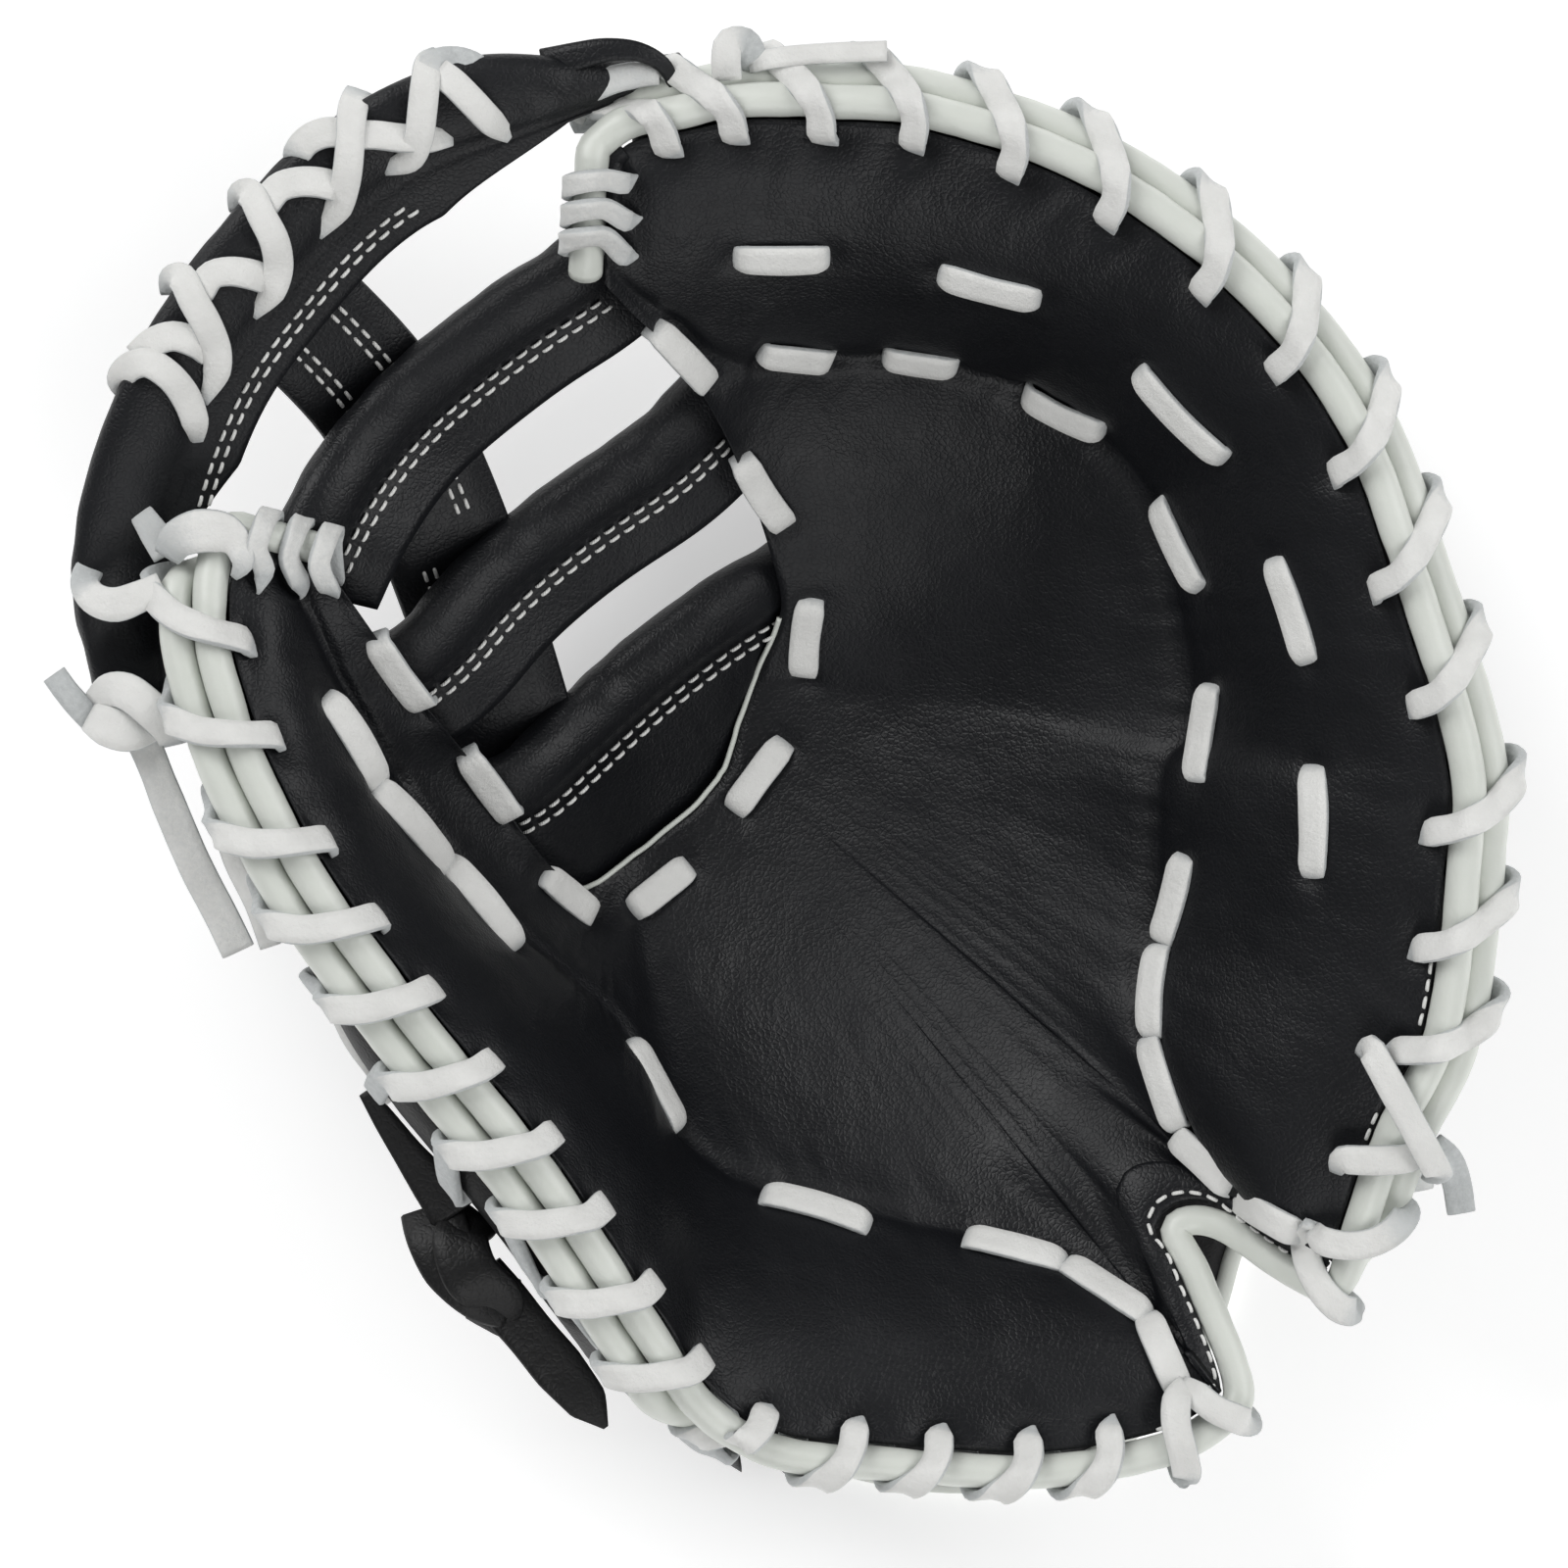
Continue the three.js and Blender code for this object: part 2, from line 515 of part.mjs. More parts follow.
// Lacing over the rim: out at a front hole, over the piping on a slant, in at a back hole, on to the next front hole
const LACE_LIFT = GAP + LACE_THICKNESS / 2 + 0.6;
function rimLacing([from, to], pitch, slant) {
  const direction = Math.sign(to - from);
  const count = Math.round(edgeLength(from, to) / pitch);
  const step = edgeLength(from, to) / count;
  const around = PIPING_RADIUS + LACE_LIFT;
  const path = [];
  const sides = [];
  const holes = [];
  const put = (p, e) => {
    path.push(p);
    const [before, after] = [Math.max(-1, e - 0.05), Math.min(LAST + 1, e + 0.05)];
    sides.push(edgeAt(after).centre.sub(edgeAt(before).centre).normalize());
  };
  const over = (centre, e, angle) =>
    add(add(centre, edgeAt(e).inward, -around * Math.cos(angle)), UP, around * Math.sin(angle));
  for (let i = 0; i <= count; i++) {
    const e0 = stepEdge(from, direction * step * i);
    const place = (f) => stepEdge(e0, direction * slant * f);
    const paired = e0 > THUMB_SHELL[0] && e0 < FINGER_SHELL[1] && (e0 < PAIRED[0] || e0 > PAIRED[1]);
    const [u, k] = edgeAt(e0).at(FRONT_HOLE);
    holes.push(path.length);
    put(palmLining(u, k, LACE_LIFT), e0);
    put(add(palmFace(u, k), palmNormal(u, k), LACE_LIFT), e0);
    put(over(edgeAt(place(0.3)).centre, place(0.3), 1.6), place(0.3));
    const fan = paired ? [1.2, 0.3, -0.6] : [0.9, 0, -0.9];
    fan.forEach((angle, j) => {
      const e = place(0.5 + 0.16 * j);
      put(over(paired ? outerPiping(e) : edgeAt(e).centre, e, angle), e);
    });
    const [v, m] = edgeAt(place(1)).at(BACK_HOLE);
    if (paired) {
      holes.push(path.length);
      put(outsideBack(v, m, LACE_LIFT), place(1));
      put(outsideBack(v, m, -BACK_WALL - LACE_LIFT), place(1));
    } else put(palmLining(v, m, LACE_LIFT), place(1));
  }
  return { path, sides, holes };
}

// Lacing that lies along a laced crease of the palm
function creaseLacing(route) {
  const curve = (t) => rowAt(route, t * (route.length - 1));
  const place = (t) => palmFace(curve(t)[1], curve(t)[0]);
  const lift = LACE_LIFT + 0.4;
  const stops = shares(4 * (route.length - 1));
  const normal = (t) => palmNormal(curve(t)[1], curve(t)[0]);
  const path = stops.map((t) => add(place(t), normal(t), lift));
  const sides = stops.map((t, i) => {
    const d = path[Math.min(path.length - 1, i + 1)].clone().sub(path[Math.max(0, i - 1)]);
    return normal(t).cross(d).normalize();
  });
  return { path, sides };
}

// A web bar: a padded roll along one side, a flat flange along the other. Its far edge may follow a line of its own.
const BAR_STEPS = 12;
function webBar(frameList, roll, rise, flange) {
  const t = WEB_LEATHER / 2;
  const arc = shares(6, Math.PI / 4, (7 * Math.PI) / 4).map((a) => [
    -roll / 2 + (roll / 2) * Math.cos(a),
    (rise / 2) * Math.sin(a),
  ]);
  const outline = [[flange, -t], [flange, t], [0, t], ...arc, [0, -t]];
  const place = (f, a, b) => (a > 0 && f.far ? add(f.far, f.up, b) : across(f, a * ((a > 0 ? f.taper : f.narrow) ?? 1), b));
  return loft(frameList.map((f) => outline.map(([a, b]) => place(f, a, b))), outline);
}

// Frames along a bar's line, its width towards the pocket and tilted down
function barFrames(points, tilt) {
  const curve = new THREE.CatmullRomCurve3(points, false, "centripetal");
  const path = curve.getSpacedPoints(BAR_STEPS);
  const sides = shares(BAR_STEPS).map((t) => {
    const d = curve.getTangentAt(t);
    const toPocket = V(d.y, -d.x, 0).normalize();
    return toPocket.multiplyScalar(Math.cos(tilt)).addScaledVector(UP, -Math.sin(tilt));
  });
  return frames(path, sides);
}

// Where a bar's end is tucked under the palm's inner edge
const underPalm = (u, k, depth) => palmLining(u, k, GAP + depth);
const HALF_ROLL = BAR_ROLL_RISE / 2;
const topBar = barFrames(TOP_BAR.map(placed), TOP_BAR_TILT);
topBar.forEach((f, i) => {
  f.taper = 0.05 + 0.95 * clamp((Math.min(i, BAR_STEPS - i) - 1.6) / 2);
  f.narrow = 1 - 0.55 * smooth((i + 3.5 - BAR_STEPS) / 3.5) - 0.2 * smooth(1 - i / 2);
});
const upperBar = barFrames(
  [underPalm(0.8, 0.5, HALF_ROLL), ...UPPER_BAR.map(placed), underPalm(0.93, 34.4, HALF_ROLL)],
  BAR_TILT,
);
const lowerBar = barFrames(
  [underPalm(0.9, 2.6, HALF_ROLL), ...LOWER_BAR.map(placed), underPalm(0.93, 30.6, HALF_ROLL)],
  BAR_TILT,
);
const baseBar = barFrames(
  [underPalm(0.9, 4.7, HALF_ROLL), ...BASE_BAR.map(placed), underPalm(0.97, 26.9, HALF_ROLL)],
  BAR_TILT,
);

// The base's far edge follows the palm's inner edge, just under it
const innerEdge = edgeSamples(5.2, 26.6, RIM_SPACING).map((k) => ({ k, p: palmFace(1, k, 0) }));
function innerEdgeAt(t) {
  const lengths = innerEdge.map(({ p }, i) => (i === 0 ? 0 : p.distanceTo(innerEdge[i - 1].p)));
  const total = lengths.reduce((a, b) => a + b);
  let left = t * total;
  const i = lengths.findIndex((length, j) => j > 0 && (left -= length) <= 1e-9);
  return mix(innerEdge[i].k, innerEdge[i - 1].k, clamp(-left / lengths[i]));
}
baseBar.forEach((f, i) => {
  const margin = 0.07;
  f.far = underPalm(0.975, innerEdgeAt(mix(margin, 1 - margin, i / BAR_STEPS)), WEB_LEATHER / 2 + GAP);
});

// Spine behind the bars: it crosses each bar at the given share of its length
function spineFrames() {
  const behind = (bar, t, a, depth) => across(bar[Math.round(t * BAR_STEPS)], a, -depth - GAP - WEB_LEATHER / 2);
  const points = [
    behind(topBar, 0.5, 2, TOP_BAR_RISE / 2),
    behind(upperBar, 0.42, -4, HALF_ROLL + 1),
    behind(lowerBar, 0.3, -4, HALF_ROLL + 1),
    behind(baseBar, 0.2, -2, HALF_ROLL + 1),
  ];
  const curve = new THREE.CatmullRomCurve3(points, false, "centripetal");
  const path = curve.getSpacedPoints(8);
  const sides = shares(8).map((t) => {
    const d = curve.getTangentAt(t);
    return V(d.y, -d.x, 0).normalize();
  });
  return { path, sides };
}

// Lacing whipped over the top bar's outer edge
function topBarLacing() {
  const outer = -TOP_BAR_ROLL - LACE_LIFT - GAP;
  const front = TOP_BAR_RISE / 2 + LACE_LIFT;
  const turns = 6;
  const loop = [[outer * 0.86, -front], [outer, 0], [outer * 0.86, front], [-3, front], [-3, -front]];
  const at = (t) => {
    const x = clamp(t) * BAR_STEPS;
    const i = Math.min(BAR_STEPS - 1, Math.floor(x));
    const blend = (name) => topBar[i][name].clone().lerp(topBar[i + 1][name], x - i);
    return { p: blend("p"), d: blend("d"), side: blend("side"), up: blend("up") };
  };
  const path = [];
  const sides = [];
  const holes = [];
  for (let turn = 0; turn < turns; turn++) {
    holes.push(path.length + loop.length - 2);
    loop.forEach(([a, b], j) => {
      const f = at(mix(TOP_LACING[0], TOP_LACING[1], (turn + j / loop.length) / turns));
      path.push(across(f, a, b));
      sides.push(f.d);
    });
  }
  return { path, sides, holes };
}

// Wrist strap: flat on the floor, its ends up against the outside of the two shells
function strapLine() {
  const seat = ([k, u]) => outsideBack(u, k, GAP + STRAP_THICKNESS / 2);
  const floor = STRAP_ROUTE.map((p) => placed(p).setZ(STRAP_THICKNESS / 2));
  const curve = new THREE.CatmullRomCurve3([seat(STRAP_SEATS[0]), ...floor, seat(STRAP_SEATS[1])], false, "centripetal");
  const path = curve.getSpacedPoints(16);
  path.forEach((p) => (p.z = Math.max(p.z, STRAP_THICKNESS / 2)));
  const sides = path.map((p, i) => {
    const d = path[Math.min(16, i + 1)].clone().sub(path[Math.max(0, i - 1)]);
    return V(d.y, -d.x, 0).normalize();
  });
  return { path, sides };
}

// A knot against the outside of a back shell: a ring of lace, and its tails through the given places
function tie(u, k, tails, width, thickness) {
  const depth = thickness * 2;
  const knot = outsideBack(u, k, depth + GAP);
  const axis = knot.clone().sub(outsideBack(u, k, 0)).normalize();
  const turns = new THREE.TorusGeometry(width * 0.6, thickness * 1.2, 6, 8);
  turns.deleteAttribute("normal");
  turns.deleteAttribute("uv");
  turns.scale(1, 1, depth / (thickness * 1.2));
  turns.applyQuaternion(new THREE.Quaternion().setFromUnitVectors(UP, axis)).translate(knot.x, knot.y, knot.z);
  const ring = mergeVertices(turns, 1e-3);
  const corner = (i) => new THREE.Vector3().fromBufferAttribute(ring.attributes.position, i);
  const corners = shares(ring.attributes.position.count - 1).map((_, i) => corner(i));
  const strips = tails.map((points) => {
    const path = new THREE.CatmullRomCurve3([knot, ...points.map(placed)]).getSpacedPoints(6);
    const d = path[6].clone().sub(knot);
    return strip(path, path.map(() => V(d.y, -d.x, 0).normalize()), width, thickness);
  });
  return join(solid(corners, [...ring.index.array]), ...strips);
}

const thumbLacing = rimLacing(THUMB_LACING, THUMB_PITCH, THUMB_SLANT);
const fingerLacing = rimLacing(FINGER_LACING, FINGER_PITCH, FINGER_SLANT);
const pipingAlong = (e0, e1, line, room = 0) =>
  cord(edgeSamples(e0, e1, RIM_SPACING).map(line), PIPING_RADIUS + room);
const palmPiping = (room) => pipingAlong(-1, LAST + 1, (e) => edgeAt(e).centre, room);
const thumbPiping = (room) => pipingAlong(...THUMB_SHELL, outerPiping, room);
const fingerPiping = (room) => pipingAlong(...FINGER_SHELL, outerPiping, room);

// Room that other pieces leave round these
const laceRoom = wasm.Manifold.union([thumbLacing, fingerLacing].flatMap((line) => [laceSlots(line, GAP), lace(line)]));
const wideLaceRoom = join(lace(thumbLacing, GAP), lace(fingerLacing, GAP), laceRoom);
const rimRoom = join(palmPiping(GAP), thumbPiping(GAP), fingerPiping(GAP));
const snugRoom = join(palmPiping(TRIM), thumbPiping(TRIM), fingerPiping(TRIM));
const shellRoom = wasm.Manifold.union(
  [THUMB_SHELL, FINGER_SHELL].flatMap((span) => [backShell(span, 2 * GAP), backShell(span)]),
);
const palmRoom = palmSlab(GAP);
const topLacing = topBarLacing();

// Materials
const leather = new THREE.MeshStandardMaterial({ color: 0x17181b, roughness: 0.5, metalness: 0 });
const rolled = new THREE.MeshStandardMaterial({ color: 0xd9ddd2, roughness: 0.4, metalness: 0 });
const rawhide = new THREE.MeshStandardMaterial({ color: 0xdcdcd8, roughness: 0.8, metalness: 0 });

const mitt = new THREE.Group();
function addPiece(name, body, material) {
  const { vertProperties, triVerts } = body.getMesh();
  const geometry = new THREE.BufferGeometry();
  geometry.setAttribute("position", new THREE.BufferAttribute(vertProperties, 3));
  geometry.setIndex(new THREE.BufferAttribute(triVerts, 1));
  const mesh = new THREE.Mesh(geometry, material);
  mesh.name = name;
  mitt.add(mesh);
}

addPiece("palm", carve(palmSlab(), laceRoom, snugRoom), leather);
addPiece("palm_piping", palmPiping(), rolled);
addPiece("thumb_piping", thumbPiping(), rolled);
addPiece("finger_piping", fingerPiping(), rolled);
addPiece("thumb_back", carve(backShell(THUMB_SHELL), laceRoom), leather);
addPiece("finger_back", carve(backShell(FINGER_SHELL), laceRoom), leather);
addPiece("thumb_lace", carve(lace(thumbLacing), snugRoom), rawhide);
addPiece("finger_lace", carve(lace(fingerLacing), snugRoom), rawhide);

const web = {
  web_top_bar: webBar(topBar, TOP_BAR_ROLL, TOP_BAR_RISE, TOP_BAR_FLANGE),
  web_upper_bar: webBar(upperBar, BAR_ROLL, BAR_ROLL_RISE, BAR_FLANGE),
  web_lower_bar: webBar(lowerBar, BAR_ROLL, BAR_ROLL_RISE, BAR_FLANGE),
  web_base: webBar(baseBar, BAR_ROLL, BAR_ROLL_RISE, BAR_FLANGE),
};
const topLaceRoom = join(laceSlots(topLacing, GAP), lace(topLacing));
for (const [name, body] of Object.entries(web))
  addPiece(name, carve(body, palmRoom, shellRoom, rimRoom, wideLaceRoom, topLaceRoom), leather);
const { path: spinePath, sides: spineSides } = spineFrames();
const webRoom = join(
  webBar(topBar, TOP_BAR_ROLL, TOP_BAR_RISE + 2 * GAP, TOP_BAR_FLANGE),
  ...[upperBar, lowerBar, baseBar].map((list) => webBar(list, BAR_ROLL, BAR_ROLL_RISE + 2 * GAP, BAR_FLANGE)),
);
addPiece("web_spine", carve(strip(spinePath, spineSides, SPINE_WIDTH, WEB_LEATHER), webRoom, palmRoom), leather);
addPiece("top_bar_lace", lace(topLacing), rawhide);
addPiece("thumb_crease_lace", lace(creaseLacing(THUMB_CREASE)), rawhide);
addPiece("heel_crease_lace", lace(creaseLacing(HEEL_CREASE)), rawhide);
addPiece("finger_crease_lace", lace(creaseLacing(FINGER_CREASE)), rawhide);

const strap = strapLine();
const laceTies = { web_tie: [0.16, 3.2, WEB_TIE_TAILS], heel_tie: [0.16, 21.8, HEEL_TIE_TAILS] };
for (const [name, [u, k, tails]] of Object.entries(laceTies))
  addPiece(name, carve(tie(u, k, tails, LACE_WIDTH, LACE_THICKNESS), shellRoom, laceRoom), rawhide);
const thumbTie = tie(0.14, 7, THUMB_TIE_TAILS, THUMB_TIE_WIDTH, THUMB_TIE_THICKNESS);
addPiece("thumb_tie", carve(thumbTie, shellRoom, laceRoom), leather);
addPiece("wrist_strap", carve(strip(strap.path, strap.sides, STRAP_WIDTH, STRAP_THICKNESS), shellRoom), leather);
const bindingPath = frames(strap.path, strap.sides).map((f) => {
  const p = across(f, STRAP_WIDTH / 2 + BINDING_RADIUS + GAP, 0);
  return p.setZ(Math.max(p.z, BINDING_RADIUS));
});
addPiece("strap_binding", carve(cord(bindingPath.slice(3, -2), BINDING_RADIUS), shellRoom), rolled);

// The origin is under the middle of the mitt, on the surface that it lies on
const { min, max } = new THREE.Box3().setFromObject(mitt);
mitt.position.set(-(min.x + max.x) / 2, -(min.y + max.y) / 2, -min.z);

export default mitt;
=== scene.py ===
# %% [markdown]
# # First baseman mitt
# The mitt lies on its back with the pocket up, and the camera looks straight down on it. Its palm is one
# padded leather panel, bent like a horseshoe round a web of four padded bars. Pale rolled piping follows
# the rim, and rawhide lacing is whipped over it through a row of holes. Behind hang two back shells with
# room for the hand.
#
# The solids of the CAD model are loaded as a fixed frame. The surfaces here follow the same table of
# sections in much finer steps, and add what the solids leave out: the pads' creases and dimples, the
# rounded laces with their suede edges, the thread stitches, the grain. Lengths are in millimetres until a
# mesh is made.

import bpy
import numpy as np
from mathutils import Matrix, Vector


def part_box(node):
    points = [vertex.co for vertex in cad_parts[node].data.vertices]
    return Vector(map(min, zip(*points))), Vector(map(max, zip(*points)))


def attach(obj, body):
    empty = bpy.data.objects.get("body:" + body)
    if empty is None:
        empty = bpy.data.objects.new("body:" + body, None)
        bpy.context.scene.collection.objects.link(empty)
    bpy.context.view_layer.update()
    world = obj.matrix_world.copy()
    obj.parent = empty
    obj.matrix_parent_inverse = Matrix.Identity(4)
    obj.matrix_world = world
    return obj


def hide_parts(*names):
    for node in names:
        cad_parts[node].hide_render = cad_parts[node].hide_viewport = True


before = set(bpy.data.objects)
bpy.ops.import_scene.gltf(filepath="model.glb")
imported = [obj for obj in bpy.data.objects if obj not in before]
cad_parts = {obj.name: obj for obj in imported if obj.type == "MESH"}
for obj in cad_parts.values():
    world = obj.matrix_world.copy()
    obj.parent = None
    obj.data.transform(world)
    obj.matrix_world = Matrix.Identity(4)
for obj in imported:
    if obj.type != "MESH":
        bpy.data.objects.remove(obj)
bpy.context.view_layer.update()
MM = 0.001
UP = np.array([0, 0, 1.0])
FRAME_PX = 1600

# %% [markdown]
# ## Sizes
# The palm, the shells and the web keep the sizes that the solids have. The lacing, and how far the second
# piping is tucked under the first, have sizes of their own, chosen against the photograph. Shares in
# the tables below are of half the width, half the length and the rim height.

# %% Sizes
MITT_WIDTH = 294
MITT_LENGTH = 294
RIM_HEIGHT = 95
HALF = np.array([MITT_WIDTH / 2, MITT_LENGTH / 2, RIM_HEIGHT])

PALM_EDGE = 5
POCKET_THICKNESS = 6.5
PAD_RISE = 8
PAD_SINK = 3
BACK_WALL = 2.6
BACK_FLARE = 15
HAND_ROOM = 34
EDGE_ROOM = 3.8
PIPING_RADIUS = 3.4
GAP = 0.5
THUMB_TILT = 0.35
FINGER_TILT = 0.8
END_TILT = 1.5
PAIR_DISTANCE = 2 * PIPING_RADIUS + GAP

LACE_WIDTH = 5.9
LACE_THICKNESS = 2.2
THUMB_LEAN = 12.5
FINGER_LEAN = 15
TIP_LEAN = 2
FRONT_HOLE = 3.2
BACK_HOLE = 10

THUMB_SHELL = (0.5, 9.2)
FINGER_SHELL = (20.4, 34.1)
PAIRED = (10.2, 20.5)
END_RUN = 0.95
END_TURN = 0.12

# %% [markdown]
# ## Sections round the palm
# Each row is a section across the palm, from the thumb tip down the thumb, across the heel and its notch,
# and up the fingers. `rim` is the centre of the piping and `in` the edge beside the web. `crease` and
# `back` are shares of the way between them: where the pad ends in the pocket, and where the back shell
# ends. `pad` and `hand` scale the pad's rise and the room for the hand, and `flare` how far the back shell
# stands out past its piping.

# %% Section table
COLUMNS = ["rimX", "rimY", "rimZ", "inX", "inY", "inZ", "crease", "creaseZ", "pad", "hand", "back", "flare"]
PALM_SECTIONS = np.array([
    [-0.766, 0.313, 0.93, -0.616, 0.278, 0.89, 0.55, 0.9, 0.3, 0.2, 0.82, 0],
    [-0.776, 0.248, 0.95, -0.559, 0.195, 0.8, 0.58, 0.84, 0.5, 0.3, 0.82, 0],
    [-0.771, 0.172, 0.97, -0.517, 0.128, 0.7, 0.6, 0.77, 0.7, 0.42, 0.82, 0],
    [-0.742, 0.073, 0.98, -0.468, 0.069, 0.62, 0.6, 0.7, 0.8, 0.52, 0.82, 0],
    [-0.707, -0.012, 0.99, -0.421, 0.007, 0.49, 0.6, 0.62, 0.9, 0.62, 0.82, 0],
    [-0.628, -0.154, 0.99, -0.344, -0.101, 0.36, 0.6, 0.52, 1, 0.9, 0.82, 0],
    [-0.499, -0.328, 0.97, -0.294, -0.152, 0.25, 0.64, 0.45, 1, 1.15, 0.82, 0.4],
    [-0.336, -0.527, 0.93, -0.265, -0.15, 0.18, 0.64, 0.41, 1, 1.2, 0.72, 0.7],
    [-0.193, -0.74, 0.86, -0.232, -0.127, 0.15, 0.61, 0.39, 1, 1.15, 0.58, 1],
    [-0.113, -0.858, 0.78, -0.212, -0.111, 0.13, 0.5, 0.39, 1, 1, 0.46, 1],
    [-0.013, -0.921, 0.74, -0.192, -0.097, 0.12, 0.45, 0.4, 1, 1, 0.4, 1],
    [0.134, -0.939, 0.7, -0.17, -0.078, 0.115, 0.41, 0.41, 1, 1, 0.4, 0],
    [0.346, -0.952, 0.66, -0.128, -0.044, 0.115, 0.36, 0.43, 1, 1, 0.4, 0],
    [0.517, -0.925, 0.63, -0.106, -0.019, 0.113, 0.3, 0.46, 0.9, 1, 0.4, 0],
    [0.599, -0.882, 0.61, -0.097, -0.008, 0.113, 0.2, 0.51, 0.6, 1, 0.4, 0],
    [0.623, -0.832, 0.6, -0.093, -0.003, 0.113, 0.13, 0.54, 0.3, 1, 0.4, 0],
    [0.568, -0.687, 0.56, -0.089, 0.004, 0.113, 0.1, 0.52, 0.2, 1, 0.4, 0],
    [0.539, -0.623, 0.54, -0.086, 0.008, 0.113, 0.08, 0.51, 0.1, 1, 0.4, 0],
    [0.596, -0.616, 0.545, -0.083, 0.013, 0.113, 0.09, 0.51, 0.1, 1, 0.4, 0],
    [0.702, -0.683, 0.6, -0.079, 0.024, 0.113, 0.1, 0.55, 0.2, 1, 0.4, 0],
    [0.758, -0.697, 0.64, -0.075, 0.037, 0.113, 0.18, 0.56, 0.5, 1, 0.3, 0],
    [0.789, -0.607, 0.71, -0.07, 0.053, 0.113, 0.3, 0.53, 0.9, 1, 0.34, 0],
    [0.828, -0.487, 0.78, -0.065, 0.072, 0.113, 0.36, 0.48, 1, 1, 0.4, 0],
    [0.894, -0.339, 0.86, -0.057, 0.093, 0.115, 0.39, 0.47, 1, 1, 0.46, 0],
    [0.922, -0.09, 0.94, -0.042, 0.135, 0.12, 0.41, 0.48, 1, 1, 0.54, 0],
    [0.919, 0.029, 0.97, -0.033, 0.159, 0.14, 0.37, 0.49, 1, 0.95, 0.6, 0],
    [0.853, 0.248, 1, -0.012, 0.205, 0.18, 0.35, 0.5, 1, 0.88, 0.7, 0],
    [0.763, 0.487, 1, -0.004, 0.248, 0.24, 0.34, 0.51, 1, 0.8, 0.78, 0],
    [0.609, 0.677, 1, -0.02, 0.314, 0.31, 0.4, 0.52, 1, 0.7, 0.82, 0],
    [0.408, 0.821, 0.99, -0.042, 0.38, 0.38, 0.55, 0.54, 1, 0.6, 0.82, 0],
    [0.192, 0.898, 0.98, -0.066, 0.437, 0.45, 0.7, 0.56, 0.9, 0.5, 0.82, 0],
    [0.054, 0.911, 0.97, -0.086, 0.479, 0.52, 0.8, 0.59, 0.8, 0.45, 0.82, 0],
    [-0.053, 0.913, 0.965, -0.113, 0.526, 0.6, 0.85, 0.64, 0.7, 0.38, 0.82, 0],
    [-0.132, 0.899, 0.96, -0.143, 0.575, 0.68, 0.87, 0.71, 0.6, 0.3, 0.82, 0],
    [-0.212, 0.883, 0.955, -0.199, 0.623, 0.76, 0.88, 0.78, 0.4, 0.22, 0.82, 0],
    [-0.249, 0.857, 0.95, -0.244, 0.669, 0.84, 0.88, 0.86, 0.3, 0.16, 0.82, 0],
])
LAST = len(PALM_SECTIONS) - 1


# %% [markdown]
# ## Curves and surfaces
# Everything hangs on a few functions of two parameters: `k`, the real-valued row of the table, and `u`, the
# share of the way from the rim (0) to the inner edge (1). They take whole arrays.

# %% Rows of the table
def mix(a, b, t):
    """a at t = 0, b at t = 1."""
    return a + (b - a) * t


def smooth(t):
    """Smooth step: 3t² - 2t³, held at 0 and 1 outside."""
    t = np.clip(t, 0, 1)
    return t * t * (3 - 2 * t)


def unit(v):
    """Vectors of length one."""
    return v / np.maximum(np.linalg.norm(v, axis=-1, keepdims=True), 1e-9)


def lengths(path):
    """Length along a path up to each of its points."""
    return np.concatenate([[0], np.cumsum(np.linalg.norm(np.diff(path, axis=0), axis=1))])


def at_lengths(stops, length, path):
    """Points of a path at given lengths along it."""
    return np.stack([np.interp(stops, length, column) for column in path.T], -1)


def level_side(d):
    """Level directions square to directions d, on their right."""
    return unit(np.stack([d[:, 1], -d[:, 0], 0 * d[:, 0]], -1))


def ring_quads(rings, corners):
    """Faces of a tube of rings with the same number of corners, and its two end caps."""
    i, j = np.meshgrid(np.arange(rings - 1), np.arange(corners), indexing="ij")
    a, b = i * corners + j, i * corners + (j + 1) % corners
    quads = np.stack([a, b, b + corners, a + corners], -1).reshape(-1, 4)
    last = (rings - 1) * corners
    return quads, [list(range(corners))[::-1], list(range(last, last + corners))]


def catmull(table, k):
    """Rows between a table's rows, on a Catmull-Rom curve through them."""
    table = np.asarray(table, float)
    k = np.asarray(k, float)
    i = np.clip(np.floor(k).astype(int), 0, len(table) - 2)
    t = (k - i)[..., None]
    p0, p1, p2, p3 = (table[np.clip(i + step, 0, len(table) - 1)] for step in (-1, 0, 1, 2))
    square, cube = 2 * p0 - 5 * p1 + 4 * p2 - p3, 3 * p1 - p0 - 3 * p2 + p3
    return (2 * p1 + (p2 - p0) * t + square * t**2 + cube * t**3) / 2


def section(k):
    """The table's columns by name at rows k."""
    row = catmull(PALM_SECTIONS, k)
    return {name: row[..., c] for c, name in enumerate(COLUMNS)}


def rim(k):
    """Centre line of the piping on the palm's rim."""
    s = section(k)
    return np.stack([s["rimX"], s["rimY"], s["rimZ"]], -1) * HALF


def rim_frame(k):
    """Direction along the rim, and the level direction from it to the palm."""
    along = unit(rim(np.minimum(LAST, k + 0.02)) - rim(np.maximum(0, k - 0.02)))
    inward = np.stack([-along[..., 1], along[..., 0], 0 * along[..., 0]], -1)
    return along, unit(inward)


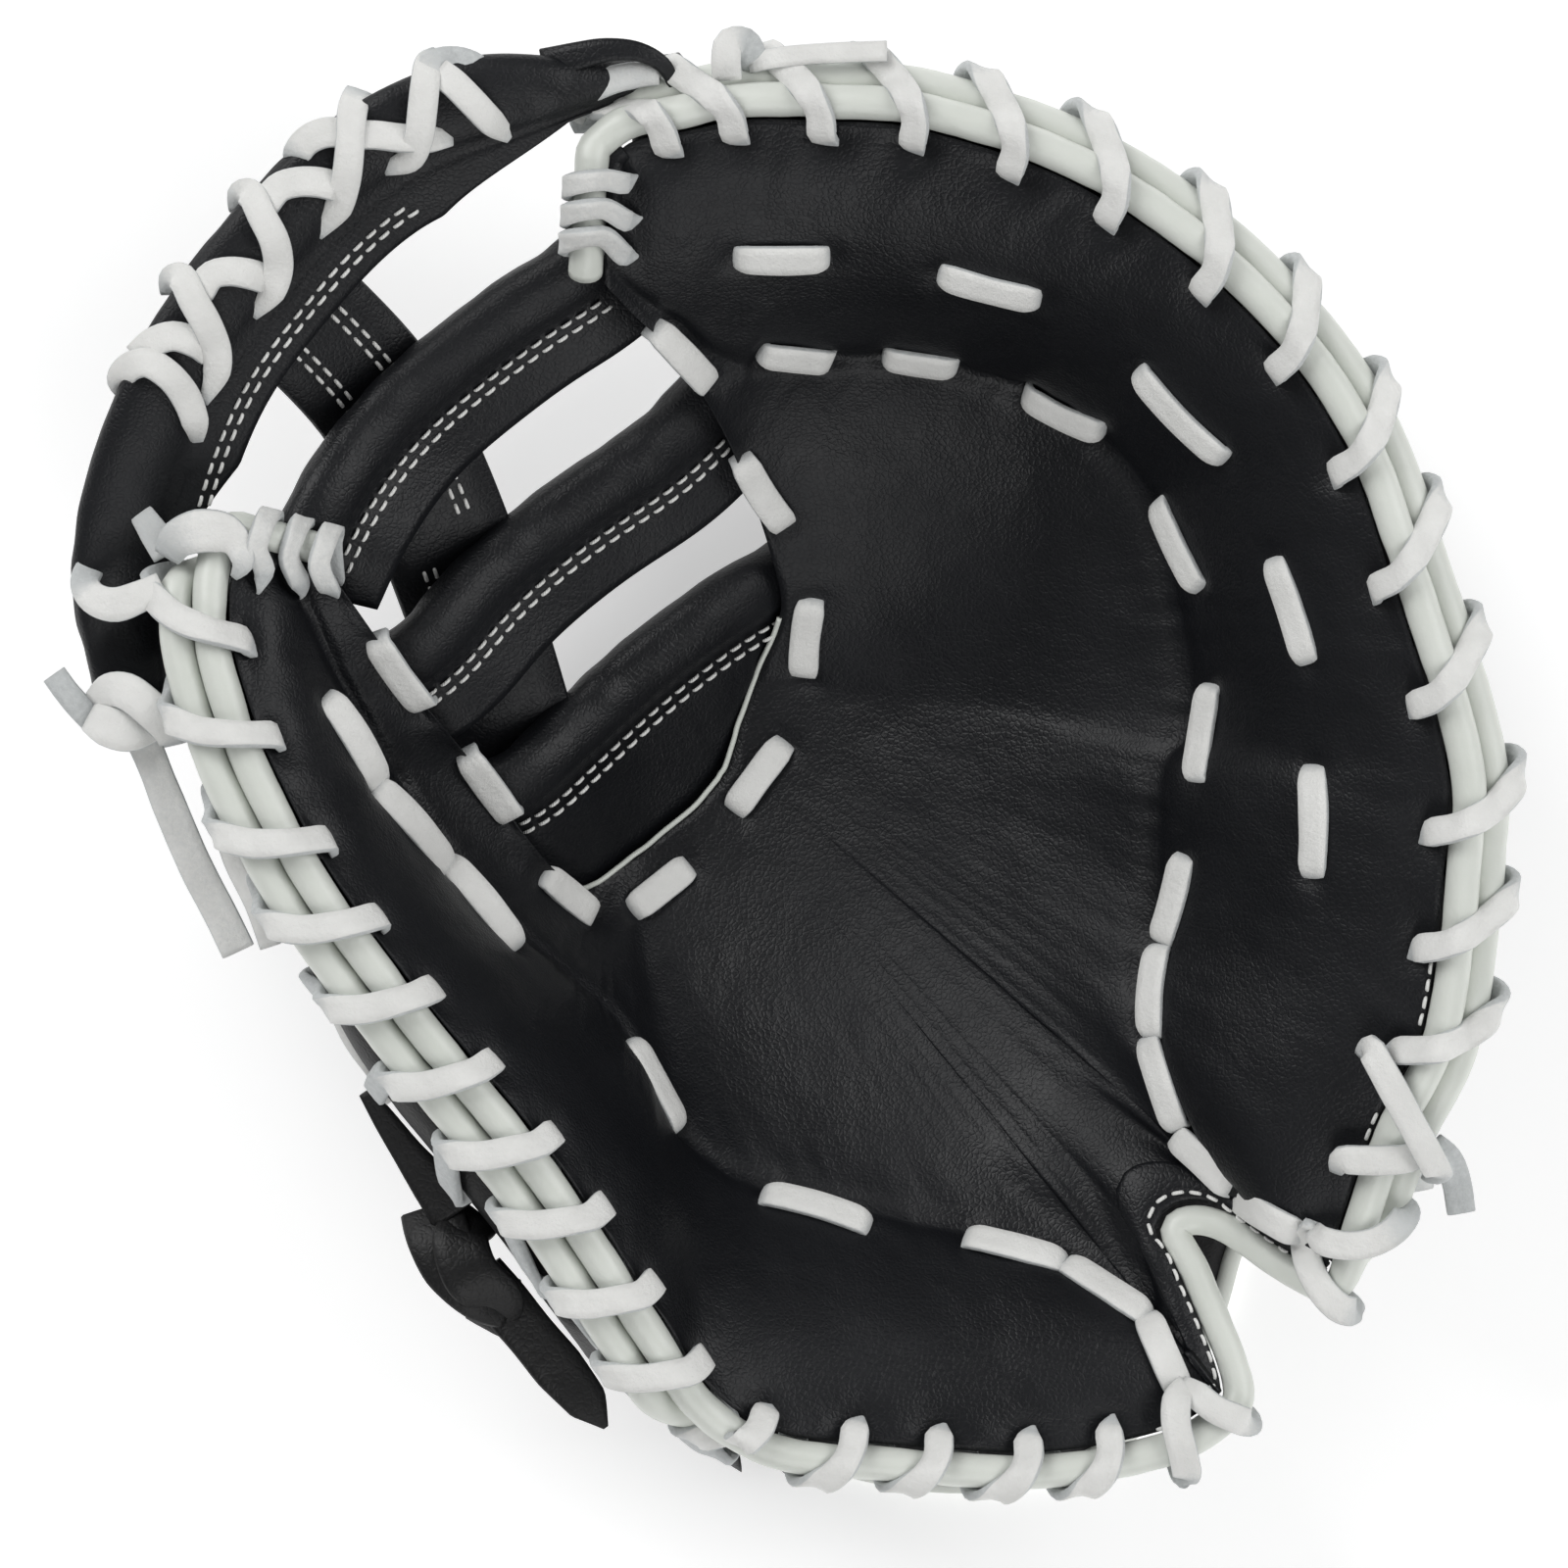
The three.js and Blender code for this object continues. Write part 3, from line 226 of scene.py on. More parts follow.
# %% Palm surfaces
def palm_face(u, k, bulge=1.0):
    """Front of the palm: a straight fall to the crease with a half sine wave for the pad, then the bowl."""
    u, k = np.broadcast_arrays(np.asarray(u, float), np.asarray(k, float))
    s = section(k)
    edge = rim(k) + rim_frame(k)[1] * (PIPING_RADIUS + GAP)
    inner = np.stack([s["inX"], s["inY"]], -1) * HALF[:2]
    t = u / s["crease"]
    pocket = np.maximum(0, (1 - u) / (1 - s["crease"]))
    bowl = s["inZ"] + (s["creaseZ"] - s["inZ"]) * pocket**1.6
    height = np.where(t < 1, mix(s["rimZ"], s["creaseZ"], t), bowl)
    puff = np.where((t > 0) & (t < 1), bulge * s["pad"] * PAD_RISE * np.sin(np.pi * t), 0)
    xy = mix(edge[..., :2], inner, u[..., None])
    return np.concatenate([xy, (height * RIM_HEIGHT + puff)[..., None]], -1)


def palm_normal(u, k, bulge=1.0):
    """Normal of that face, towards the catching side."""
    u, k = np.broadcast_arrays(np.asarray(u, float), np.asarray(k, float))
    du = palm_face(u + 0.02, k, bulge) - palm_face(np.maximum(0, u - 0.02), k, bulge)
    dk = palm_face(u, np.minimum(LAST, k + 0.05), bulge) - palm_face(u, np.maximum(0, k - 0.05), bulge)
    n = unit(np.cross(dk, du))
    return n * np.where(n[..., 2:] < 0, -1, 1)


def away_from_palm(u, k, reach):
    """Down and out from the bowl, square to it within the upright plane of the section."""
    d = palm_face(np.minimum(1, u + reach), k, 0) - palm_face(np.maximum(0, u - reach), k, 0)
    level = np.hypot(d[..., 0], d[..., 1])
    return unit(np.stack([d[..., 0] / level * d[..., 2], d[..., 1] / level * d[..., 2], -level], -1))


def palm_depth(u, k):
    """Thickness of the palm: its leather, and the felt under the pads."""
    s = section(k)
    t = np.clip(u / s["crease"], 0, 1)
    return mix(PALM_EDGE, POCKET_THICKNESS, smooth(t)) + s["pad"] * PAD_SINK * np.sin(np.pi * t)


def palm_lining(u, k, extra=0.0):
    """Back of the palm, and straight below its front beside the piping."""
    u, k = np.broadcast_arrays(np.asarray(u, float), np.asarray(k, float))
    down = np.array([0, 0, -1.0])
    d = unit(mix(down, away_from_palm(u, k, 0.06), smooth(u / 0.15)[..., None]))
    return palm_face(u, k, 0) + d * (palm_depth(u, k) + extra)[..., None]


# %% Laced edge
def edge_at(e):
    """The piping's centre, the level direction from it to the palm, and how fast the edge runs, at places e.

    Between 0 and LAST, e is the rim's row. Below 0 and past LAST the piping turns down the tip beside the web.
    """
    e = np.asarray(e, float)
    k = np.clip(e, 0, LAST)
    along, inward = rim_frame(k)
    past = np.abs(e - k)
    side = np.sign(e - k)
    row = unit(palm_face(0.3, k, 0) - palm_face(0, k, 0))
    out = along * side[..., None]
    out = unit(out - row * np.sum(out * row, -1, keepdims=True))
    turn = smooth(past / END_TURN)[..., None]
    u = np.maximum(0, past - END_TURN) / (1 - END_TURN) * END_RUN
    away = unit(mix(-inward, out, turn))
    on_rim = (past == 0)[..., None]
    centre = np.where(on_rim, rim(k), palm_face(u, k) + away * (PIPING_RADIUS + GAP))
    return centre, np.where(on_rim, inward, -away), u


def palm_place(e, distance):
    """(u, k) of the palm's face at a distance from the edge at places e."""
    e = np.asarray(e, float)
    k = np.clip(e, 0, LAST)
    centre, _, u = edge_at(e)
    side = np.sign(e - k)
    length = np.linalg.norm(palm_face(1, k) - rim(k), axis=-1)
    speed = np.linalg.norm(palm_face(u, k) - palm_face(u, np.clip(k - 0.2 * side, 0, LAST)), axis=-1) / 0.2
    on_rim = side == 0
    speed = np.where(on_rim, 1, speed)
    return np.where(on_rim, distance / length, u + 0.04), np.where(on_rim, k, k - side * distance / speed)


EDGE_STOPS = np.linspace(-1, LAST + 1, 4001)
EDGE_LENGTHS = lengths(edge_at(EDGE_STOPS)[0])


def edge_length(e):
    """Length along the laced edge from the thumb tip's end to places e."""
    return np.interp(e, EDGE_STOPS, EDGE_LENGTHS)


def edge_place(length):
    """Place on the laced edge at a length along it."""
    return np.interp(length, EDGE_LENGTHS, EDGE_STOPS)


def pair_tilt(k):
    """How far the second piping is tucked under the first: more on the fingers' side, wholly at its ends."""
    tilt = mix(THUMB_TILT, FINGER_TILT, smooth((k - 18) / 3))
    heel = smooth((k - THUMB_SHELL[1] + 0.7) / 0.7) * smooth((FINGER_SHELL[0] + 0.9 - k) / 0.9)
    tips = smooth((THUMB_SHELL[0] + 0.5 - k) / 0.5) + smooth((k - FINGER_SHELL[1] + 0.5) / 0.5)
    return mix(tilt, END_TILT, heel + tips)


def outer_piping(k):
    """Centre line of the second piping, on the back shell: outside the first one and lower."""
    tilt = pair_tilt(k)
    out = PAIR_DISTANCE * np.stack([np.cos(tilt), np.cos(tilt), np.sin(tilt)], -1)
    return rim(k) - (rim_frame(k)[1] + [0, 0, 1]) * out


# %% Back shells
def hand_room(u, k):
    """Room between palm and back shell: narrow at the rim, wide for the hand, shut again beside the web."""
    s = section(k)
    shut = smooth((s["back"] - 0.6) / 0.2)
    fall = mix(1, smooth((s["back"] - u) / 0.3), shut)
    edge = EDGE_ROOM * mix(1, 0.35, shut * smooth(u / s["back"]))
    return edge + s["hand"] * HAND_ROOM * smooth(u / 0.3) * fall


def back_face(u, k, layer):
    """Faces of the back shell: layer 0 towards the hand, 1 outside. It is flat where it rests."""
    u, k = np.broadcast_arrays(np.asarray(u, float), np.asarray(k, float))
    s = section(k)
    wall = layer * BACK_WALL
    offset = palm_depth(u, k) + hand_room(u, k) + wall
    p = palm_face(u, k, 0) + away_from_palm(u, k, 0.12) * offset[..., None]
    inward = rim_frame(k)[1]
    row = palm_face(1, k, 0) - palm_face(0, k, 0)
    row[..., 2] = 0
    row = unit(row)
    limit = BACK_WALL / 2 - wall - PAIR_DISTANCE * np.cos(pair_tilt(k))
    reach = np.sum((p - rim(k)) * inward, -1)
    push = np.maximum(0, limit - reach) * -1 / np.maximum(0.3, np.sum(row * inward, -1))
    flare = BACK_FLARE * s["flare"] * smooth(u / 0.12) * smooth((0.6 - u) / 0.4)
    p = p - row * (np.where(reach < limit, push, 0) + flare)[..., None]
    p[..., 2] = np.maximum(p[..., 2], (1 - layer) * BACK_WALL)
    return p


def outside_back(u, k, lift):
    """A point just outside the back shell."""
    du = back_face(u + 0.02, k, 1) - back_face(np.maximum(0, u - 0.02), k, 1)
    dk = back_face(u, k + 0.05, 1) - back_face(u, k - 0.05, 1)
    n = unit(np.cross(dk, du))
    away = back_face(u, k, 1) - palm_face(u, k, 0)
    n = n * np.where(np.sum(n * away, -1, keepdims=True) < 0, -1, 1)
    return back_face(u, k, 1) + n * lift


# %% [markdown]
# ## The camera's view of a point
# The photograph looks straight down. Its distance isn't known, and 2.2 metres is taken here. A point's
# place in the 1600 px frame then follows from its height, so stitches can be placed where the photograph
# shows them, on the surface below.

# %% View
CAMERA_HEIGHT = 2200
MM_PER_PX = 0.1947
PX_PLANE = 90
MITT_CENTRE_PX = 792
MIDDLE = FRAME_PX / 2
BELOW = (MITT_CENTRE_PX - MIDDLE) * MM_PER_PX
AXIS = np.array([0, BELOW])


def to_px(p):
    """Place in the photograph's frame of points p: shares of the distance from the axis grow with height."""
    scale = (CAMERA_HEIGHT - PX_PLANE) / (CAMERA_HEIGHT - p[..., 2]) / MM_PER_PX
    flat = (p[..., :2] - AXIS) * scale[..., None]
    return np.stack([MIDDLE + flat[..., 0], MIDDLE - flat[..., 1]], -1)


def from_px(px, height):
    """Points at a height that the photograph shows at these pixels."""
    px = np.asarray(px, float)
    height = np.broadcast_to(np.asarray(height, float), px.shape[:1])
    scale = (CAMERA_HEIGHT - PX_PLANE) / (CAMERA_HEIGHT - height) / MM_PER_PX
    flat = np.stack([px[:, 0] - MIDDLE, MIDDLE - px[:, 1]], -1) / scale[:, None]
    return np.column_stack([flat + AXIS, height])


EDGE_SEEN = to_px(edge_at(EDGE_STOPS)[0])


def edge_near(px):
    """Places on the laced edge nearest to pixels of the photograph."""
    far = np.linalg.norm(EDGE_SEEN - np.asarray(px, float)[:, None], axis=2)
    return EDGE_STOPS[np.argmin(far, axis=1)]

# %% [markdown]
# ## Mesh makers
# A piece is a closed surface: a slab between two grids, or a profile swept along a path. Each is made from
# whole arrays of points, moved into the frame, scaled to metres and turned to face out.

# %% Curves through points
def curve_through(points, step, carried=None):
    """Centripetal Catmull-Rom curve through points, at an even step, with carried columns mixed along it."""
    p = np.vstack([2 * points[0] - points[1], points, 2 * points[-1] - points[-2]])
    chords = np.linalg.norm(np.diff(p, axis=0), axis=1)
    knots = np.concatenate([[0], np.cumsum(np.sqrt(np.maximum(1e-6, chords)))])
    p0, p1, p2, p3 = (p[i : len(p) - 3 + i, None] for i in range(4))
    t0, t1, t2, t3 = (knots[i : len(p) - 3 + i, None, None] for i in range(4))
    share = np.linspace(0, 1, 9)[None, :-1, None]
    t = t1 + share * (t2 - t1)
    a1 = ((t1 - t) * p0 + (t - t0) * p1) / (t1 - t0)
    a2 = ((t2 - t) * p1 + (t - t1) * p2) / (t2 - t1)
    a3 = ((t3 - t) * p2 + (t - t2) * p3) / (t3 - t2)
    b1 = ((t2 - t) * a1 + (t - t0) * a2) / (t2 - t0)
    b2 = ((t3 - t) * a2 + (t - t1) * a3) / (t3 - t1)
    fine = np.vstack([(((t2 - t) * b1 + (t - t1) * b2) / (t2 - t1)).reshape(-1, 3), points[-1:]])
    at = (np.arange(len(points) - 1)[:, None] + share[0].T).ravel()
    at = np.append(at, len(points) - 1)
    length = lengths(fine)
    stops = np.linspace(0, length[-1], max(2, int(round(length[-1] / step)) + 1))
    path = at_lengths(stops, length, fine)
    if carried is None:
        return path
    row = np.interp(stops, length, at)
    return path, at_lengths(row, np.arange(len(points)), carried)


def relaxed(path, passes):
    """The path with small waves ironed out: each pass moves inner points halfway to their neighbours."""
    path = path.copy()
    for _ in range(passes):
        path[1:-1] = mix(path[1:-1], (path[:-2] + path[2:]) / 2, 0.5)
    return path


def frames_along(path, sides):
    """Direction, side and up at each point of a path; the side is made square to the direction."""
    d = unit(np.gradient(path, axis=0))
    side = unit(sides - d * np.sum(sides * d, -1, keepdims=True))
    return d, side, np.cross(side, d)

# %% Profiles
def circle(radius, corners):
    """Corners of a round profile."""
    a = np.linspace(0, 2 * np.pi, corners, endpoint=False)
    return np.stack([radius * np.cos(a), radius * np.sin(a)], -1)


def rounded_strip(width, thickness, corners=20, power=7.0):
    """A strip's profile: a superellipse, nearly square across and rounded at its edges."""
    a = np.linspace(0, 2 * np.pi, corners, endpoint=False) + np.pi / corners
    a = a - 0.28 * np.sin(4 * a) / 4
    c, s = np.cos(a), np.sin(a)
    r = (np.abs(c) ** power + np.abs(s) ** power) ** (-1 / power)
    return np.stack([width / 2 * r * c, thickness / 2 * r * s], -1)

# %% Rings to a closed surface
def ring_surface(points):
    """Closed surface through rings of points, an array of (rings, corners, 3)."""
    quads, caps = ring_quads(*points.shape[:2])
    return points.reshape(-1, 3), quads.tolist() + caps


def sweep(path, sides, profile):
    """A profile along a path, as points and faces. profile is one outline, or one for each point."""
    _, side, up = frames_along(path, sides)
    ring = np.broadcast_to(profile, (len(path),) + np.shape(profile)[-2:])
    points = path[:, None] + side[:, None] * ring[..., :1] + up[:, None] * ring[..., 1:]
    return ring_surface(points)


def slab(front, back):
    """A closed slab between two grids of points."""
    rows, cols = front.shape[:2]
    points = np.concatenate([front.reshape(-1, 3), back.reshape(-1, 3)])
    number = np.arange(2 * rows * cols).reshape(2, rows, cols)
    top, low = number
    front_quads = np.stack([top[:-1, :-1], top[1:, :-1], top[1:, 1:], top[:-1, 1:]], -1).reshape(-1, 4)
    back_quads = np.stack([low[:-1, :-1], low[:-1, 1:], low[1:, 1:], low[1:, :-1]], -1).reshape(-1, 4)
    t, b = (np.concatenate([g[:-1, 0], g[-1, :-1], g[:0:-1, -1], g[0, :0:-1]]) for g in (top, low))
    wall = np.stack([t, b, np.roll(b, -1), np.roll(t, -1)], -1)
    return points, np.concatenate([front_quads, back_quads, wall]).tolist()


def together(parts):
    """Several surfaces as one."""
    points, faces, start = [], [], 0
    for p, f in parts:
        points.append(p)
        faces += [[i + start for i in face] for face in f]
        start += len(p)
    return np.concatenate(points), faces


# %% Texture of height
def ripple(p, size, seed=0.0):
    """Smooth noise from -1 to 1: values at the corners of a lattice, mixed with smooth steps."""
    q = np.asarray(p) / size
    cell = np.floor(q)
    f = q - cell
    f = f * f * (3 - 2 * f)
    total = 0
    for dx in (0, 1):
        for dy in (0, 1):
            for dz in (0, 1):
                corner = cell + [dx, dy, dz]
                wave = np.sin(corner @ np.array([127.1, 311.7, 74.7]) + seed * 57.3) * 43758.5453
                weight = 1
                for axis, step in enumerate((dx, dy, dz)):
                    weight = weight * (f[..., axis] if step else 1 - f[..., axis])
                total = total + (wave - np.floor(wave)) * weight
    return 2 * total - 1


# %% Objects
palm_box = np.array([list(c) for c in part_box("palm_piping")])
own = edge_at(np.arange(-1, LAST + 1.001, 0.25))[0]
SHIFT = palm_box.mean(0) / MM - (own.min(0) + own.max(0)) / 2
SHIFT[2] = 0
print(f"move into the frame: {SHIFT[0]:.2f}, {SHIFT[1]:.2f} mm")


def build(name, surface, material, stands_for=(), values=None):
    """Makes the object of a closed surface, faces out, riding on the one body."""
    points, faces = surface
    mesh = bpy.data.meshes.new(name)
    mesh.from_pydata(((points + SHIFT) * MM).tolist(), [], faces)
    mesh.validate()
    if values is not None:
        attribute = mesh.attributes.new("mark", "FLOAT", "POINT")
        attribute.data.foreach_set("value", np.asarray(values, np.float32))
    quads = np.array([f for f in faces if len(f) == 4])
    p = [points[quads[:, i]] for i in range(4)]
    volume = np.sum(np.cross(p[0], p[1]) * p[2]) + np.sum(np.cross(p[0], p[2]) * p[3])
    if volume < 0:
        mesh.flip_normals()
    mesh.shade_smooth()
    mesh.materials.append(material)
    piece = bpy.data.objects.new(name, mesh)
    bpy.context.scene.collection.objects.link(piece)
    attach(piece, "root")
    if stands_for:
        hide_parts(*stands_for)
    triangles = sum(len(f) - 2 for f in faces)
    size = np.ptp(points, axis=0)
    print(f"{name}: {triangles} triangles, {size[0]:.0f} x {size[1]:.0f} x {size[2]:.0f} mm")
    return piece

# %% [markdown]
# ## Materials
# Four leathers and a thread, each from nodes on the object's own coordinates.

# %% Materials
def material(name, colour, roughness):
    """A new material and its shader, with a base colour and roughness."""
    m = bpy.data.materials.new(name)
    m.use_nodes = True
    shader = m.node_tree.nodes["Principled BSDF"]
    shader.inputs["Base Color"].default_value = (*colour, 1)
    shader.inputs["Roughness"].default_value = roughness
    return m, shader


def node(m, kind, **values):
    """A node with its properties or inputs set by name."""
    n = m.node_tree.nodes.new(kind)
    for key, value in values.items():
        if key in n.inputs:
            n.inputs[key].default_value = value
        else:
            setattr(n, key, value)
    return n


def link(m, source, target):
    """Joins an output to an input."""
    m.node_tree.links.new(source, target)


def grain(m, shader, layers):
    """Stacks bumps on a shader: each layer is a height output, its depth in metres and its strength."""
    normal = None
    for height, depth, strength in layers:
        bump = node(m, "ShaderNodeBump", Distance=depth, Strength=strength)
        link(m, height, bump.inputs["Height"])
        if normal is not None:
            link(m, normal, bump.inputs["Normal"])
        normal = bump.outputs["Normal"]
    link(m, normal, shader.inputs["Normal"])


def black_leather(name, colour, roughness, pebble):
    """Black full-grain leather: fine cells of grain, soft creases, and a sheen that varies by place."""
    m, shader = material(name, colour, roughness)
    at = node(m, "ShaderNodeTexCoord").outputs["Object"]
    cells = node(m, "ShaderNodeTexVoronoi", Scale=1 / pebble, feature="DISTANCE_TO_EDGE")
    fine = node(m, "ShaderNodeTexNoise", Scale=1500.0, Detail=3.0)
    folds = node(m, "ShaderNodeTexNoise", Scale=110.0, Detail=5.0, Roughness=0.6, Distortion=0.8)
    patches = node(m, "ShaderNodeTexNoise", Scale=28.0, Detail=3.0)
    for texture in (cells, fine, folds, patches):
        link(m, at, texture.inputs["Vector"])
    ridge = node(m, "ShaderNodeMapRange", **{"From Min": 0.0, "From Max": 0.25, "To Min": 0.0, "To Max": 1.0})
    link(m, cells.outputs["Distance"], ridge.inputs["Value"])
    grain(m, shader, [(folds.outputs["Fac"], 0.0008, 0.4), (ridge.outputs["Result"], 0.00012, 0.4),
                      (fine.outputs["Fac"], 0.00008, 0.35)])
    gloss = node(m, "ShaderNodeMapRange", **{"From Min": 0.3, "From Max": 0.7, "To Min": roughness - 0.07,
                                             "To Max": roughness + 0.1})
    link(m, patches.outputs["Fac"], gloss.inputs["Value"])
    link(m, gloss.outputs["Result"], shader.inputs["Roughness"])
    tint = node(m, "ShaderNodeMix", data_type="RGBA")
    tint.inputs[6].default_value = (*[c * 0.8 for c in colour], 1)
    tint.inputs[7].default_value = (*[c * 1.5 for c in colour], 1)
    link(m, patches.outputs["Fac"], tint.inputs["Factor"])
    link(m, tint.outputs[2], shader.inputs["Base Color"])
    shader.inputs["Specular IOR Level"].default_value = 0.32
    return m


def pale_piping():
    """Rolled piping: pale greenish white, glossy, with fine creases round the roll."""
    m, shader = material("pale_piping", (0.71, 0.735, 0.685), 0.36)
    at = node(m, "ShaderNodeTexCoord").outputs["Object"]
    folds = node(m, "ShaderNodeTexNoise", Scale=260.0, Detail=4.0, Roughness=0.55)
    stains = node(m, "ShaderNodeTexNoise", Scale=45.0, Detail=4.0)
    for texture in (folds, stains):
        link(m, at, texture.inputs["Vector"])
    grain(m, shader, [(folds.outputs["Fac"], 0.0006, 0.35)])
    tint = node(m, "ShaderNodeMix", data_type="RGBA")
    tint.inputs[6].default_value = (0.62, 0.65, 0.595, 1)
    tint.inputs[7].default_value = (0.78, 0.80, 0.755, 1)
    link(m, stains.outputs["Fac"], tint.inputs["Factor"])
    link(m, tint.outputs[2], shader.inputs["Base Color"])
    return m


def rawhide():
    """Lacing: white smooth top, and grey where the attribute `mark` is 1: suede at the cut edges and below, and
    painted shade on the top where the lace turns down.
    """
    m, shader = material("rawhide_lace", (0.78, 0.78, 0.76), 0.55)
    at = node(m, "ShaderNodeTexCoord").outputs["Object"]
    fibre = node(m, "ShaderNodeTexNoise", Scale=900.0, Detail=5.0, Roughness=0.7)
    cloud = node(m, "ShaderNodeTexNoise", Scale=120.0, Detail=3.0)
    for texture in (fibre, cloud):
        link(m, at, texture.inputs["Vector"])
    mark = node(m, "ShaderNodeAttribute", attribute_name="mark")
    blur = node(m, "ShaderNodeMath", operation="MULTIPLY_ADD")
    blur.inputs[1].default_value = 0.7
    link(m, fibre.outputs["Fac"], blur.inputs[0])
    link(m, mark.outputs["Fac"], blur.inputs[2])
    # How much of the grey shows: suede on the cut edges and underside, and painted shade where `mark` greys the
    # top.
    edge = node(m, "ShaderNodeMapRange", **{"From Min": 0.75, "From Max": 1.25, "To Min": 0.0, "To Max": 1.0})
    link(m, blur.outputs[0], edge.inputs["Value"])
    top = node(m, "ShaderNodeMix", data_type="RGBA")
    top.inputs[6].default_value = (0.70, 0.70, 0.68, 1)
    top.inputs[7].default_value = (0.9, 0.9, 0.88, 1)
    link(m, cloud.outputs["Fac"], top.inputs["Factor"])
    # One grey for the suede and for the painted shade on the lace's top.
    suede_and_shade = node(m, "ShaderNodeMix", data_type="RGBA")
    suede_and_shade.inputs[6].default_value = (0.40, 0.42, 0.425, 1)
    suede_and_shade.inputs[7].default_value = (0.72, 0.74, 0.74, 1)
    link(m, fibre.outputs["Fac"], suede_and_shade.inputs["Factor"])
    both = node(m, "ShaderNodeMix", data_type="RGBA")
    link(m, edge.outputs["Result"], both.inputs["Factor"])
    link(m, top.outputs[2], both.inputs[6])
    link(m, suede_and_shade.outputs[2], both.inputs[7])
    link(m, both.outputs[2], shader.inputs["Base Color"])
    dull = node(m, "ShaderNodeMapRange", **{"To Min": 0.5, "To Max": 0.95})
    link(m, edge.outputs["Result"], dull.inputs["Value"])
    link(m, dull.outputs["Result"], shader.inputs["Roughness"])
    grain(m, shader, [(cloud.outputs["Fac"], 0.0005, 0.5), (fibre.outputs["Fac"], 0.0004, 0.8)])
    return m


def plain_thread():
    """White sewing thread, twisted, a little shiny."""
    m, shader = material("white_thread", (0.82, 0.82, 0.80), 0.5)
    twist = node(m, "ShaderNodeTexWave", Scale=700.0)
    link(m, node(m, "ShaderNodeTexCoord").outputs["Object"], twist.inputs["Vector"])
    grain(m, shader, [(twist.outputs["Fac"], 0.0002, 0.4)])
    return m


LEATHER = black_leather("black_leather", (0.0055, 0.006, 0.0075), 0.42, 0.0011)
BACK_LEATHER = black_leather("back_leather", (0.008, 0.008, 0.0085), 0.52, 0.0013)
PIPING = pale_piping()
LACE = rawhide()
THREAD = plain_thread()

# %% [markdown]
# ## Rim lacing
# One lace runs up the thumb side from the heel and another up the finger side from the notch. Each comes up
# through a hole in the palm, leans over the piping on a slant towards the web, goes in through the back
# shell, and comes up again at the next hole. The loops are set out first, because the palm is dimpled where
# they pull.

# %% Loops of the rim lacing
THUMB_HOLES = [
    [1136, 1465], [1054, 1472], [963, 1465], [876, 1451], [789, 1436], [714, 1396], [657, 1325], [609, 1243],
    [557, 1168], [502, 1086], [441, 1009], [384, 934], [330, 855], [279, 748], [243, 651], [262, 558],
    [294, 570], [322, 586],
]
FINGER_HOLES = [
    [1435, 1072], [1447, 969], [1454, 848], [1444, 723], [1419, 598], [1372, 482], [1311, 375], [1233, 296],
    [1133, 225], [1034, 179], [934, 150], [843, 143], [754, 143], [684, 150], [643, 186],
    [640, 216], [640, 244],
]
TIP_LOOPS = 3


def loops(holes, direction, slant):
    """Lengths along the edge where the loops start, how far they lean, and whether they cross two pipings."""
    e = edge_near(holes)
    tip = np.arange(len(e)) >= len(e) - TIP_LOOPS
    lean = np.where(tip, TIP_LEAN, slant * (1 + 0.08 * np.sin(1.7 * np.arange(len(e)) + 1)))
    paired = (e > THUMB_SHELL[0]) & (e < FINGER_SHELL[1]) & ((e < PAIRED[0]) | (e > PAIRED[1]))
    return {"at": edge_length(e), "lean": direction * lean, "e": e, "paired": paired, "direction": direction,
            "tip": tip}


THUMB_LOOPS = loops(THUMB_HOLES, -1, THUMB_LEAN)
FINGER_LOOPS = loops(FINGER_HOLES, 1, FINGER_LEAN)
print("thumb loops at", np.round(THUMB_LOOPS["e"], 2), "finger loops at", np.round(FINGER_LOOPS["e"], 2))


def front_holes(set_of_loops):
    """Points on the palm's face where the loops come up."""
    u, k = palm_place(set_of_loops["e"], FRONT_HOLE)
    return palm_face(u, k)


HOLES = np.concatenate([front_holes(THUMB_LOOPS), front_holes(FINGER_LOOPS)])

# %% [markdown]
# ## Palm
# The panel is stuffed with felt under the thumb, heel and finger pads and bare in the pocket. It is sewn
# down along the creases, so each pad stands up like a cushion. The rim lacing pulls a dimple at each hole,
# the leather gathers beside them, and the pocket is softly creased where it folds round the ball. The face
# is a grid whose columns meet the crease exactly, moved along its own normals by these marks.

# %% Dashes of lace on the palm
CHAINS = [
    [[335, 713], [388, 805]], [[384, 800], [458, 885]], [[454, 880], [527, 965]],
    [[988, 1263], [1086, 1290]], [[1086, 1288], [1172, 1342]], [[1168, 1342], [1206, 1420]],
    [[1207, 876], [1188, 960]], [[1186, 966], [1172, 1055]], [[1171, 1062], [1198, 1150]],
    [[1199, 1156], [1256, 1214]], [[1258, 1218], [1328, 1258]],
]
DASHES = [
    [[752, 262], [843, 264]], [[958, 280], [1060, 306]], [[1162, 380], [1248, 468]],
    [[1298, 570], [1336, 675]],
    [[1342, 785], [1337, 892]], [[778, 362], [850, 368]], [[902, 362], [974, 374]],
    [[1048, 402], [1124, 440]],
    [[1182, 512], [1222, 600]], [[1232, 700], [1222, 795]], [[668, 336], [724, 394]],
    [[758, 468], [800, 540]],
    [[828, 614], [822, 692]], [[800, 758], [752, 832]], [[702, 884], [646, 930]], [[556, 894], [606, 936]],
    [[384, 654], [434, 722]], [[480, 772], [528, 832]], [[645, 1064], [692, 1152]],
    [[780, 1218], [884, 1252]],
]

# %% Palm grid
stops = edge_place(np.linspace(edge_length(0), edge_length(LAST), 600))
stops[0], stops[-1] = 0, LAST
crease = section(stops)["crease"][:, None]
half_steps = np.linspace(0, 1, 37)
U = np.hstack([crease * half_steps[:-1], crease + (1 - crease) * half_steps])
K = np.broadcast_to(stops[:, None], U.shape)
face = palm_face(U, K)

